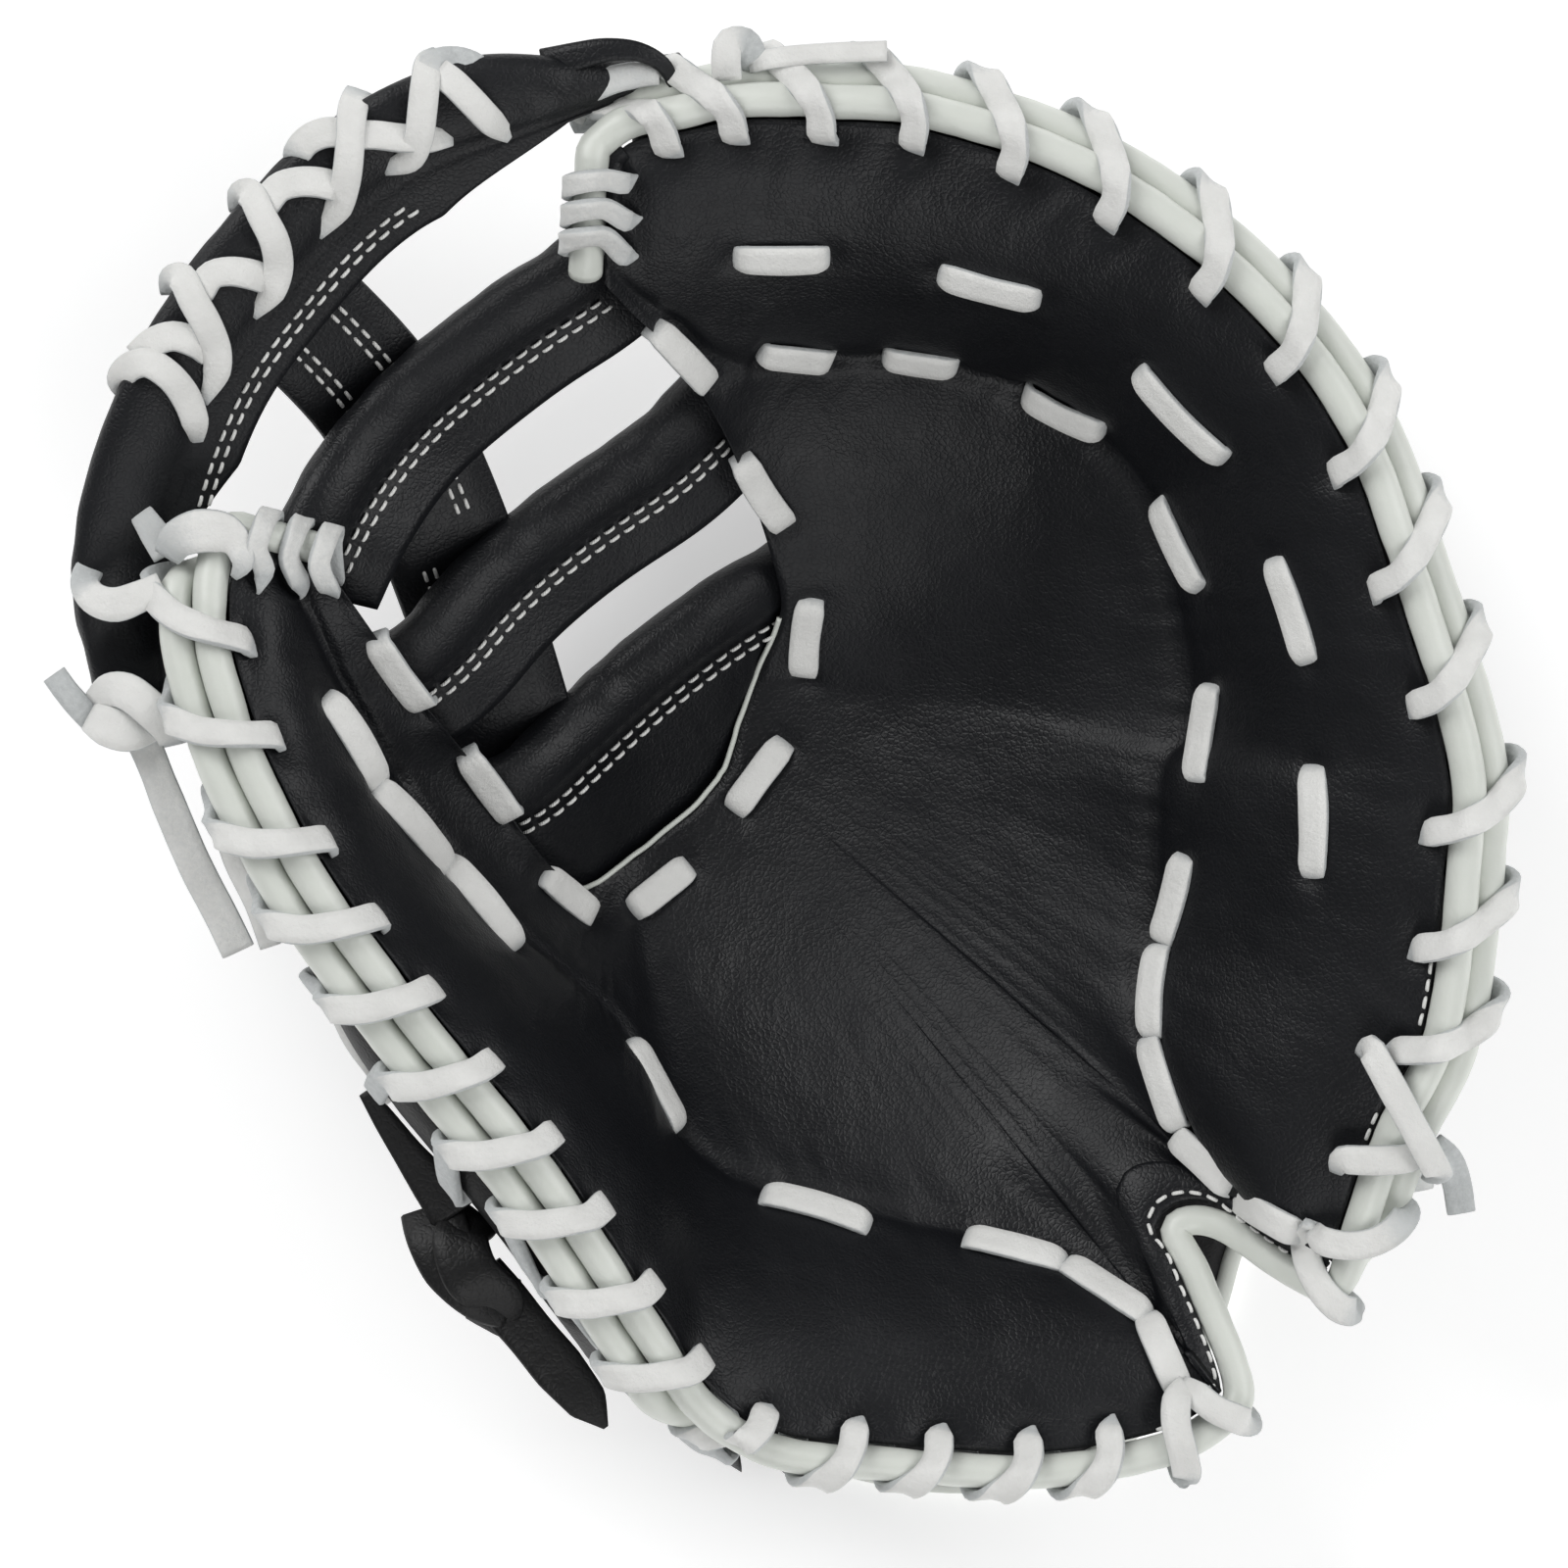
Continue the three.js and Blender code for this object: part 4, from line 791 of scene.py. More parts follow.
FAN = np.arange(10, 25.01, 0.25)
spokes = rim(FAN) - palm_face(1, FAN)
HEADINGS = np.maximum.accumulate(np.unwrap(np.arctan2(spokes[:, 1], spokes[:, 0])))


def row_length(k):
    """Level distance from the rim to the inner edge."""
    return np.linalg.norm((palm_face(0, k, 0) - palm_face(1, k, 0))[..., :2], axis=-1)


def levelled(u, k):
    """Height of the bowl towards the notch: the mean over neighbouring directions, as far from the web."""
    turns = np.radians(np.linspace(-20, 20, 21))
    weights = np.exp(-((turns / np.radians(9)) ** 2) / 2)
    heading = np.interp(k, FAN, HEADINGS)
    far = (1 - u) * row_length(k)
    heights = []
    for turn in turns:
        row = np.interp(heading + turn, HEADINGS, FAN)
        heights.append(palm_face(np.clip(1 - far / row_length(row), 0, 1), row, 0)[..., 2])
    return np.tensordot(weights / weights.sum(), heights, 1)


inside = smooth((U - crease - 0.02) / 0.2) * smooth((K - FAN[0]) / 2.5) * smooth((FAN[-1] - K) / 2.5)
level = inside * (levelled(U, K) - face[..., 2])
print(f"bowl levelled by {level.min():.1f} to {level.max():.1f} mm beside the notch")
face[..., 2] += level
SEEN = to_px(face)


def on_palm(px):
    """Grid row and column of the palm's face that the photograph shows at these pixels."""
    flat = SEEN.reshape(-1, 2)
    found = [np.argmin(np.sum((flat - p) ** 2, 1)) for p in np.asarray(px, float).reshape(-1, 2)]
    return np.unravel_index(found, U.shape)


def grid_normals(grid):
    """Normals of a grid of points, upwards."""
    n = unit(np.cross(np.gradient(grid, axis=0), np.gradient(grid, axis=1)))
    return n * np.where(n[..., 2:] < 0, -1, 1)


# %% Marks in the palm
def dimples(points, centres, radius):
    """Sum of bell curves round the centres."""
    total = np.zeros(points.shape[:-1])
    for c in centres:
        total += np.exp(-np.sum((points - c) ** 2, -1) / radius**2)
    return total


run = edge_length(K)
t = U / section(K)["crease"]
length = np.linalg.norm(palm_face(1, K) - rim(K), axis=-1)
ends = face[on_palm(CHAINS + DASHES)]
middle = smooth(U * length / 4) * smooth((1 - U) * length / 4)
groove = np.exp(-(((t - 1) * section(K)["crease"] * length) ** 2) / 2.2**2)
gather = ripple(np.stack([run / 4.5, 6 * t, 0 * t], -1), 1, 3) * np.exp(-np.abs(t - 1) / 0.16)
rim_gather = ripple(np.stack([run / 5, 3 * t, 0 * t], -1), 1, 8) * np.exp(-U * length / 12)
relief = (
    -1.5 * dimples(face, HOLES, 4.2)
    - 1.0 * dimples(face, ends, 2.8)
    - 1.4 * groove * smooth(section(K)["pad"] / 0.6)
    + 0.35 * gather
    + 0.45 * rim_gather
    + 0.5 * ripple(face * [1, 1, 0.6], 26, 1)
    + 0.22 * ripple(face, 10, 2)
    + 0.08 * ripple(face, 4, 5)
)
front = face + grid_normals(face) * (relief * middle)[..., None]
lining = palm_lining(U, K) + level[..., None] * UP
palm = build("padded_palm", slab(front, lining), LEATHER, ["palm"])

# %% [markdown]
# ## Piping
# Each roll is a strip of pale leather folded round a cord. The laces squeeze it where they cross, and it
# swells in between, so its radius follows the loops and a little noise.

# %% Piping
def roll_along(name, e0, e1, line, lean_share, stands_for):
    """A roll along a line over places e0 to e1 of the edge."""
    at = np.arange(edge_length(e0), edge_length(e1), 1.3)
    path = line(edge_place(at))
    crossings = np.concatenate([s["at"] + lean_share * s["lean"] for s in (THUMB_LOOPS, FINGER_LOOPS)])
    squeeze = np.exp(-((at[:, None] - crossings) ** 2) / 3.0**2).sum(1)
    angle = np.linspace(0, 2 * np.pi, 20, endpoint=False)
    wave = ripple(path[:, None] + 3.4 * np.stack([np.cos(angle), np.sin(angle), 0 * angle], -1), 3.5, 4)
    notch = smooth((edge_place(at) - 14) / 1.5) * smooth((21 - edge_place(at)) / 1.5)
    radius = PIPING_RADIUS * (1.02 - 0.07 * np.minimum(squeeze, 1) - 0.13 * notch)[:, None] + 0.09 * wave
    ring = np.stack([radius * np.cos(angle), radius * np.sin(angle)], -1)
    return build(name, sweep(path, np.broadcast_to(UP, path.shape), ring), PIPING, stands_for)


def rim_line(e):
    """Centre line of the piping on the palm, with its turns down both tips."""
    return edge_at(e)[0]


def tip_leather(e0, e1):
    """The palm's turned leather inside the bend of the piping at a tip."""
    centre, inward, _ = edge_at(np.linspace(e0, e1, 40))
    path = relaxed(centre + inward * (PIPING_RADIUS + 0.8) - np.array([0, 0, 1.6]), 6)
    return sweep(path, np.broadcast_to(UP, path.shape), circle(2.4, 14))


build("tip_leather", together([tip_leather(-0.5, 0.5), tip_leather(LAST - 0.5, LAST + 0.5)]), LEATHER)
roll_along("rim_piping", -1, LAST + 1, rim_line, 0.3, ["palm_piping"])
roll_along("thumb_back_piping", *THUMB_SHELL, outer_piping, 0.6, ["thumb_piping"])
roll_along("finger_back_piping", *FINGER_SHELL, outer_piping, 0.6, ["finger_piping"])

# %% [markdown]
# ## Laces
# Rawhide strips, about 6 mm wide. Their tops are smooth and white, their cut edges and undersides grey suede.
# `mark` on the mesh says which is which, and it also greys the white top with painted shade where the rim lace
# runs down its outer side.

# %% Lace strips
def lace_surface(path, carried, width=LACE_WIDTH, thickness=LACE_THICKNESS):
    """A strip along a path, and its marks. Its top is the profile's lower side.

    carried holds the side's direction, how grey the top is (on the rim lace's outer side, painted shade), and
    the width's share.
    """
    profile = rounded_strip(width, thickness)
    wander = 1 + 0.04 * ripple(path, 7, 6)
    scale = wander * carried[:, 4]
    ring = profile * np.stack([scale, 0.7 + 0.3 * np.minimum(1, scale)], -1)[:, None]
    x, y = np.abs(profile[:, 0]) / (width / 2), profile[:, 1]
    mark = np.where(y > 0.3 * thickness, 1, smooth((x - 0.9) / 0.08))
    # The profile's suede edges and underside, joined with the grey carried along the path, which on the rim
    # lace's outer side is painted shade.
    return sweep(path, carried[:, :3], ring), np.maximum(mark, carried[:, 3:4]).ravel()


def lace_piece(name, strips, stands_for=()):
    """An object of one or several strips."""
    surface = together([s for s, _ in strips])
    return build(name, surface, LACE, stands_for, np.concatenate([m for _, m in strips]))


HUG = PIPING_RADIUS + LACE_THICKNESS / 2 + 0.15


def rim_lace(s):
    """The lace through all the loops of a set: from below each hole, over the piping and in at the back."""
    def place(f):
        return edge_place(np.clip(s["at"] + f * s["lean"], 0, EDGE_LENGTHS[-1]))

    def over(f, angle, outer, out=0):
        e = place(f)
        centre, inward, _ = edge_at(e)
        pair = (s["paired"] & outer)[:, None]
        centre = np.where(pair, outer_piping(np.clip(e, 0, LAST)), centre)
        reach = HUG + out
        return centre - inward * reach * np.cos(angle) + np.array([0, 0, reach * np.sin(angle)])

    u, k = palm_place(place(-0.22), FRONT_HOLE + 2.5)
    v, m = palm_place(place(1.05), np.where(s["tip"], 2.5, BACK_HOLE))
    tail = palm_place(place(-0.1), FRONT_HOLE + 1.1)
    fold = palm_place(place(0.0), FRONT_HOLE - 0.3)
    two = s["paired"][:, None]
    rows = [
        palm_lining(u, k, 2.5),
        palm_face(u, k) - palm_normal(u, k) * 0.8,
        palm_face(*tail) + palm_normal(*tail) * 0.9,
        palm_face(*fold) + palm_normal(*fold) * 2.3,
        over(0.08, 2.25, False, 0.5),
        over(0.2, 1.5, False, 0.6),
        over(0.46, 1.55, True, 0.5) * two + over(0.45, 0.7, False) * ~two,
        over(0.68, 0.75, True, 0.2) * two + over(0.7, 0.05, False) * ~two,
        over(0.86, 0.05, True, 0.9) * two + over(0.85, -0.6, False, 0.3) * ~two,
        over(1.0, -0.65, True, 0.9) * two + over(0.95, -1.2, False, 0.3) * ~two,
        np.where(two, outside_back(v, m, 1.3), palm_lining(v, m, 1.4)),
        np.where(two, outside_back(v, m, -BACK_WALL - 1.5), palm_lining(v, m, 2.2)),
    ]
    points = np.stack(rows, 1)
    along = unit(edge_at(np.minimum(LAST + 1, s["e"] + 0.05))[0] - edge_at(np.maximum(-1, s["e"] - 0.05))[0])
    sides = np.repeat(along[:, None], len(rows), 1)
    sides[..., 2] -= s["direction"] * np.array([0, 0, 0.1, 0.3, 0.42, 0.45, 0.45, 0.4, 0.2, 0, 0, 0])
    # Grey of the top, row by row: grey under the palm and up out of the hole, white over the piping, then
    # painted shade down the outer side and into the back shell. The tip loops are greyer still.
    grey = np.array([1, 1, 0.9, 0.2, 0, 0, 0, 0.1, 0.75, 1, 1, 1]) + 0.5 * s["tip"][:, None]
    wide = np.array([0.08, 0.12, 0.7, 1, 1, 1, 1, 1, 1.05, 1, 0.9, 0.8]) * (1 - 0.25 * s["tip"][:, None])
    carried = np.concatenate([sides, grey[..., None], wide[..., None]], -1)
    return curve_through(points.reshape(-1, 3), 1.2, carried.reshape(-1, 5))


lace_piece("thumb_rim_lace", [lace_surface(*rim_lace(THUMB_LOOPS))], ["thumb_lace"])
lace_piece("finger_rim_lace", [lace_surface(*rim_lace(FINGER_LOOPS))], ["finger_lace"])

# %% Dashes through the palm
def dash(px, turned=0.3, raised=0.0):
    """One stitch of lace: up through the palm at one end, down at the other, bowed with the face between.

    turned tips it towards the camera where the face is steep, and raised lifts its middle.
    """
    spots = on_palm([px[0], np.mean(px, axis=0), px[1]])
    a, middle, b = face[spots]
    n = unit(unit(grid_normals(face)[spots].sum(0)) + turned * UP)
    share = np.array([0, 0.03, 0.12, 0.3, 0.5, 0.7, 0.88, 0.97, 1])[:, None]
    bow = 4 * share * (1 - share) * (middle - (a + b) / 2)
    lift = np.array([-2.6, -0.2, 0.75, 1.0, 1.1, 1.0, 0.75, -0.2, -2.6])[:, None]
    lift = lift + raised * np.sin(np.pi * share)
    points = mix(a, b, share) + bow + n * lift
    side = np.broadcast_to(np.cross(n, unit(b - a)), points.shape)
    ends = np.array([1, 0.7, 0.1, 0, 0, 0, 0.1, 0.7, 1])
    carried = np.column_stack([side, ends, 1 - 0.25 * ends])
    return lace_surface(*curve_through(points, 0.9, carried), 6.3, 1.7)


lace_piece("thumb_crease_stitches", [dash(p, 1.6, 1.6) for p in CHAINS[:3]], ["thumb_crease_lace"])
lace_piece("heel_crease_stitches", [dash(p) for p in CHAINS[3:6]], ["heel_crease_lace"])
lace_piece("finger_crease_stitches", [dash(p) for p in CHAINS[6:]], ["finger_crease_lace"])
lace_piece("palm_stitches", [dash(p) for p in DASHES])

# %% [markdown]
# ## Back shells
# Each hangs from the second piping, stands straight down, and curves in below the hand to the surface that
# the mitt lies on.

# %% Back shells
def back_shell(name, span, stands_for):
    """A shell as a slab between its inner and outer faces."""
    at = edge_place(np.arange(edge_length(span[0]), edge_length(span[1]), 2.2))
    k = np.append(at, span[1])[:, None]
    shares = np.concatenate([np.linspace(0.01, 0.3, 14), np.linspace(0.34, 1, 24)])
    u = shares * section(k)["back"]
    under = outer_piping(k[:, 0]) - [0, 0, PIPING_RADIUS]

    def layer(i):
        top = under + rim_frame(k[:, 0])[1] * (0.5 - i) * BACK_WALL
        wall = back_face(u, k, i)
        relief = 0.5 * ripple(wall, 26, 7) + 0.2 * ripple(wall, 8, 9)
        relief = relief * smooth(wall[..., 2] / 8) * (i == 1)
        n = unit(np.cross(np.gradient(wall, axis=0), np.gradient(wall, axis=1)))
        return np.concatenate([top[:, None], wall + n * relief[..., None]], 1)

    build(name, slab(layer(0), layer(1)), BACK_LEATHER, stands_for)


back_shell("thumb_back_shell", THUMB_SHELL, ["thumb_back"])
back_shell("finger_back_shell", FINGER_SHELL, ["finger_back"])

# %% [markdown]
# ## Web
# Four bars bridge the thumb and the fingers. Each is one piece of leather rolled over a cord of padding
# along its outer side and sewn flat beside it, with two rows of thread. The top bar carries a whipped lace.
# The base bar's flat side goes on down to the pocket, under the palm's edge, and a strap runs behind the
# bars.

# %% Web sizes and lines
BAR_ROLL = 14
BAR_ROLL_RISE = 10
BAR_FLANGE = 13
BAR_TILT = 0.5
TOP_BAR_ROLL = 18
TOP_BAR_RISE = 8
TOP_BAR_FLANGE = 11
TOP_BAR_TILT = 0.4
WEB_LEATHER = 3.6
SPINE_WIDTH = 27
BAR_STEPS = 12
TOP_BAR = [
    [-0.845, 0.1, 0.66], [-0.855, 0.2, 0.72], [-0.85, 0.31, 0.8], [-0.815, 0.43, 0.88], [-0.762, 0.55, 0.92],
    [-0.675, 0.665, 0.93], [-0.6, 0.75, 0.93], [-0.51, 0.82, 0.93], [-0.397, 0.86, 0.93],
    [-0.31, 0.885, 0.92],
    [-0.215, 0.925, 0.9], [-0.135, 0.945, 0.87],
]
UPPER_BAR = [
    [-0.6, 0.33, 0.8], [-0.563, 0.396, 0.76], [-0.502, 0.477, 0.72], [-0.425, 0.543, 0.7],
    [-0.31, 0.628, 0.71],
    [-0.25, 0.658, 0.74],
]
LOWER_BAR = [
    [-0.455, 0.15, 0.54], [-0.41, 0.215, 0.5], [-0.355, 0.27, 0.46], [-0.291, 0.323, 0.43],
    [-0.225, 0.37, 0.42],
    [-0.155, 0.412, 0.42],
]
BASE_BAR = [
    [-0.335, -0.04, 0.33], [-0.3, 0, 0.29], [-0.253, 0.044, 0.25], [-0.187, 0.106, 0.22],
    [-0.111, 0.167, 0.2],
    [-0.05, 0.21, 0.195],
]


def bar_line(points, tilt, step=1.5):
    """Path of a bar, and its width's direction: towards the pocket, tilted down."""
    path = relaxed(curve_through(np.asarray(points, float), step), 40)
    d = unit(np.gradient(path, axis=0))
    return path, level_side(d) * np.cos(tilt) - UP * np.sin(tilt)


def under_palm(u, k, depth):
    """A point under the palm's lining."""
    return palm_lining(u, k, GAP + depth)


def held(line, first, last):
    """A bar's points between its two ends tucked under the palm at (u, k) places."""
    depth = BAR_ROLL_RISE / 2
    inner = np.array(line) * HALF
    return np.vstack([under_palm(*first, depth), inner, under_palm(*last, depth)])


LINES = {
    "top": bar_line(np.array(TOP_BAR) * HALF, TOP_BAR_TILT),
    "upper": bar_line(held(UPPER_BAR, (0.8, 0.5), (0.93, 34.4)), BAR_TILT),
    "lower": bar_line(held(LOWER_BAR, (0.9, 2.6), (0.93, 30.6)), BAR_TILT),
    "base": bar_line(held(BASE_BAR, (0.9, 4.7), (0.97, 26.9)), BAR_TILT),
}


# %% Bars
def bar_points(name, roll, rise, flange, narrow=1.0, taper=1.0, far=None):
    """Grid of points of a bar: along it, and round its profile from the flange's underside over the roll."""
    path, side = LINES[name]
    _, side, up = frames_along(path, side)
    angle = np.linspace(np.pi / 4, 7 * np.pi / 4, 34)
    roll_x = -roll / 2 + roll / 2 * np.cos(angle)
    roll_y = rise / 2 * np.sign(np.sin(angle)) * np.abs(np.sin(angle)) ** 0.85
    flat = np.linspace(1, 0.02, 9)
    half = WEB_LEATHER / 2
    x = np.concatenate([[flange], flat * flange, roll_x, (flat * flange)[::-1]])
    y = np.concatenate([[0], np.full(9, half), roll_y, np.full(9, -half)])
    crease = np.exp(-((x / 1.3) ** 2)) * (1 - (x < -1.5))
    y = y * (1 - 0.25 * crease)
    along = lengths(path)
    narrow = np.broadcast_to(narrow, len(path))[:, None]
    taper = np.broadcast_to(taper, len(path))[:, None]
    wide = np.where(x > 0, x * taper, x * narrow)
    grid = path[:, None] + side[:, None] * wide[..., None] + up[:, None] * y[:, None]
    if far is not None:
        share = np.clip(x / flange, 0, 1)[:, None]
        target = far[:, None] + up[:, None] * y[:, None]
        base = path[:, None] + up[:, None] * y[:, None]
        grid = np.where(x[:, None] > 0, mix(base, target, share), grid)
    turn = np.arctan2(y, x + roll / 2)
    unrolled = [along[:, None] / 5 + 0 * turn, turn * 0.8 + 0 * along[:, None], 0 * wide]
    folds = ripple(np.stack(unrolled, -1), 1, 11)
    pillow = ripple(grid, 18, 12)
    on_roll = smooth((-x) / 4)
    out = unit(np.cross(np.gradient(grid, axis=0), np.gradient(grid, axis=1)))
    centre = path - side * roll / 2 * narrow
    sign = np.sign(np.sum((grid - centre[:, None]) * out, -1).sum())
    grid = grid + sign * out * ((0.3 * folds + 0.35 * pillow) * on_roll)[..., None]
    return grid, path, side, up


# %% Thread
def stitches(start, end, n, radius=0.4):
    """Small humps of thread between start and end points on a surface with normals n."""
    t = np.array([0, 0.1, 0.3, 0.7, 0.9, 1])
    lift = radius * np.array([-0.9, 0.1, 0.6, 0.6, 0.1, -0.9])
    thick = radius * np.array([0.55, 0.9, 1, 1, 0.9, 0.55])
    d = unit(end - start)
    side = unit(np.cross(n, d))
    a = np.linspace(0, 2 * np.pi, 6, endpoint=False)
    centre = start[:, None] + (end - start)[:, None] * t[:, None] + n[:, None] * lift[:, None]
    spoke = side[:, None] * np.cos(a)[:, None] + n[:, None] * np.sin(a)[:, None]
    points = centre[:, :, None] + spoke[:, None] * thick[:, None, None]
    quads, caps = ring_quads(len(t), len(a))
    size = len(t) * len(a)
    faces = []
    for offset in range(0, len(start) * size, size):
        faces += (quads + offset).tolist() + [[c + offset for c in cap] for cap in caps]
    return points.reshape(-1, 3), faces


def stitch_line(path, normals, pitch=3.6, stitch=2.6):
    """A row of stitches along a path that lies on a surface."""
    length = lengths(path)
    start = np.arange(0.6, length[-1] - stitch - 0.4, pitch)
    n = unit(at_lengths(start + stitch / 2, length, normals))
    return stitches(at_lengths(start, length, path), at_lengths(start + stitch, length, path), n)


# %% Make the bars
THREADS = []


def sew(path, side, up, offsets, lift):
    """Rows of stitches beside a bar's crease, on its upper face."""
    for a in offsets:
        THREADS.append(stitch_line(path + side * a + up * lift, up))


def steps(name):
    """Steps along a bar, from 0 to BAR_STEPS, at each point of its path."""
    return np.linspace(0, BAR_STEPS, len(LINES[name][0]))


i = steps("top")
top_taper = 0.05 + 0.95 * np.clip((np.minimum(i, BAR_STEPS - i) - 1.6) / 2, 0, 1)
top_narrow = 1 - 0.7 * smooth((i + 2.8 - BAR_STEPS) / 2.8) - 0.2 * smooth(1 - i / 2)
inner_rows = np.linspace(5.2, 26.6, 400)
inner = palm_face(1, inner_rows, 0)
inner_length = lengths(inner)
share = mix(0.07, 0.93, steps("base") / BAR_STEPS)
base_rows = np.interp(share * inner_length[-1], inner_length, inner_rows)
base_far = under_palm(0.975, base_rows, WEB_LEATHER / 2 + GAP)

BARS = {
    "top": ("web_top_bar", TOP_BAR_ROLL, TOP_BAR_RISE, TOP_BAR_FLANGE, top_narrow, top_taper, None),
    "upper": ("web_upper_bar", BAR_ROLL, BAR_ROLL_RISE, BAR_FLANGE, 1.0, 1.0, None),
    "lower": ("web_lower_bar", BAR_ROLL, BAR_ROLL_RISE, BAR_FLANGE, 1.0, 1.0, None),
    "base": ("web_base", BAR_ROLL, BAR_ROLL_RISE, BAR_FLANGE, 1.0, 1.0, base_far),
}
# Each bar's stitched stretch, in points of its path, and its rows' distances from the crease. The top bar's rows
# are cut short, because straight on they would run off its narrowing flange.
SEAMS = {"top": (slice(14, -40), (5.4, 7.4))}
PLAIN_SEAM = (slice(4, -4), (1.4, 3.6))
GRIDS = {}
for key, (cad_node, *sizes) in BARS.items():
    grid, path, side, up = bar_points(key, *sizes)
    GRIDS[key] = grid
    build(f"{key}_bar", ring_surface(grid), LEATHER, [cad_node])
    keep, offsets = SEAMS.get(key, PLAIN_SEAM)
    sew(path[keep], side[keep], up[keep], offsets, WEB_LEATHER / 2 + 0.1)

# %% [markdown]
# ## Strap behind the web
# A flat strap from the top bar down behind the others, sewn to them in short double rows.

# %% Web strap
def behind(name, share, a, depth):
    """A point behind a bar: at a share of its length, a across it, below its roll."""
    path, side = LINES[name]
    _, side, up = frames_along(path, side)
    i = int(round(share * (len(path) - 1)))
    return path[i] + side[i] * a - up[i] * (depth + GAP + WEB_LEATHER / 2)


SPINE_DEPTH = BAR_ROLL_RISE / 2 + 1
spine = curve_through(np.array([
    behind("top", 0.5, 2, TOP_BAR_RISE / 2),
    behind("upper", 0.42, -4, SPINE_DEPTH),
    behind("lower", 0.3, -4, SPINE_DEPTH),
    behind("base", 0.2, -2, SPINE_DEPTH),
]), 1.5)
_, spine_side, spine_up = frames_along(spine, level_side(unit(np.gradient(spine, axis=0))))
build("web_strap", sweep(spine, spine_side, rounded_strip(SPINE_WIDTH, WEB_LEATHER, 28, 14)), LEATHER,
      ["web_spine"])

for share in (0.2, 0.42, 0.68):
    middle = int(share * len(spine))
    part = slice(middle - 9, middle + 9)
    for a in (-6.5, -4.3, 4.3, 6.5):
        row = spine[part] + spine_side[part] * a + spine_up[part] * (WEB_LEATHER / 2 + 0.1)
        THREADS.append(stitch_line(row, spine_up[part]))


# %% [markdown]
# ## Whipped lace on the top bar
# It turns over the bar's outer edge again and again, and slanting runs join the turns on the outside. Each
# turn is drawn as a strip of its own, through places chosen in the photograph's pixels, above the
# bar below them.

# %% Whipped lace strips
def height_of(grid):
    """A function of pixels: the height of the grid's upper side where the photograph shows them."""
    flat = grid.reshape(-1, 3)
    seen = to_px(flat)

    def height(px):
        cost = np.sum((seen - px[:, None]) ** 2, -1) - 12 * flat[:, 2]
        return flat[np.argmin(cost, axis=1), 2]

    return height


def rim_top(px):
    """Height of the palm's piping at the pixels, with half a lace on it."""
    return edge_at(edge_near(px))[0][:, 2] + PIPING_RADIUS + LACE_THICKNESS / 2


def level_ground(px):
    """Heights given as they are."""
    return np.zeros(len(px))


def traced(rows, height, width=LACE_WIDTH, thickness=LACE_THICKNESS, roll=0.0):
    """A strip through rows of pixel x, pixel y, mm above the height, grey of the top, share of width."""
    rows = np.asarray(rows, float)
    points = from_px(rows[:, :2], height(rows[:, :2]) + rows[:, 2])
    d = unit(np.gradient(points, axis=0))
    side = unit(np.cross(UP, d)) * np.cos(roll) + np.array([0, 0, np.sin(roll)])
    return lace_surface(*curve_through(points, 1.1, np.column_stack([side, rows[:, 3:]])), width, thickness)

# %% Top bar lace
TURNS = [
    [[136, 400, -7, 1, 1], [124, 388, -2, 0.6, 1], [133, 374, 1.4, 0, 1], [150, 370, 2.2, 0, 1],
     [171, 382, 2.2, 0, 1], [189, 404, 1.6, 0, 1], [199, 430, 1.2, 0.1, 0.95], [201, 451, -1.5, 0.9, 0.35]],
    [[178, 296, -6, 1, 1], [176, 286, -1.5, 0.7, 1], [186, 284, 1.5, 0.1, 1], [197, 306, 2.3, 0, 1],
     [211, 331, 2.6, 0, 1], [221, 357, 2, 0, 1], [221, 380, 1.4, 0, 0.95], [208, 410, -1.5, 0.9, 0.35]],
    [[248, 212, -6, 1, 1], [246, 200, -1.5, 0.7, 1], [256, 198, 1.5, 0.1, 1], [267, 220, 2.4, 0, 1],
     [280, 246, 2.6, 0, 1], [284, 274, 2, 0, 1], [277, 298, 1.4, 0, 0.95], [259, 322, -1.5, 0.9, 0.35]],
    [[366, 96, -6, 1, 1], [362, 104, -1, 0.5, 1], [359, 118, 1.8, 0, 1], [357, 150, 2.6, 0, 1],
     [353, 184, 2.6, 0, 1], [345, 212, 1.6, 0, 0.95], [325, 240, -1.5, 0.9, 0.35]],
    [[446, 62, -4, 1, 1], [437, 66, 1, 0.6, 1], [434, 84, 2.4, 0, 1], [431, 112, 2.8, 0, 1],
     [427, 142, 2.6, 0, 1], [418, 162, 1.8, 0.1, 0.95], [393, 172, -1.5, 0.9, 0.5]],
    [[448, 74, 0.3, 0, 1], [462, 84, 1.3, 0, 1], [482, 104, 1.6, 0, 1], [503, 126, 1.4, 0, 0.95],
     [521, 140, -1.5, 0.9, 0.45]],
]
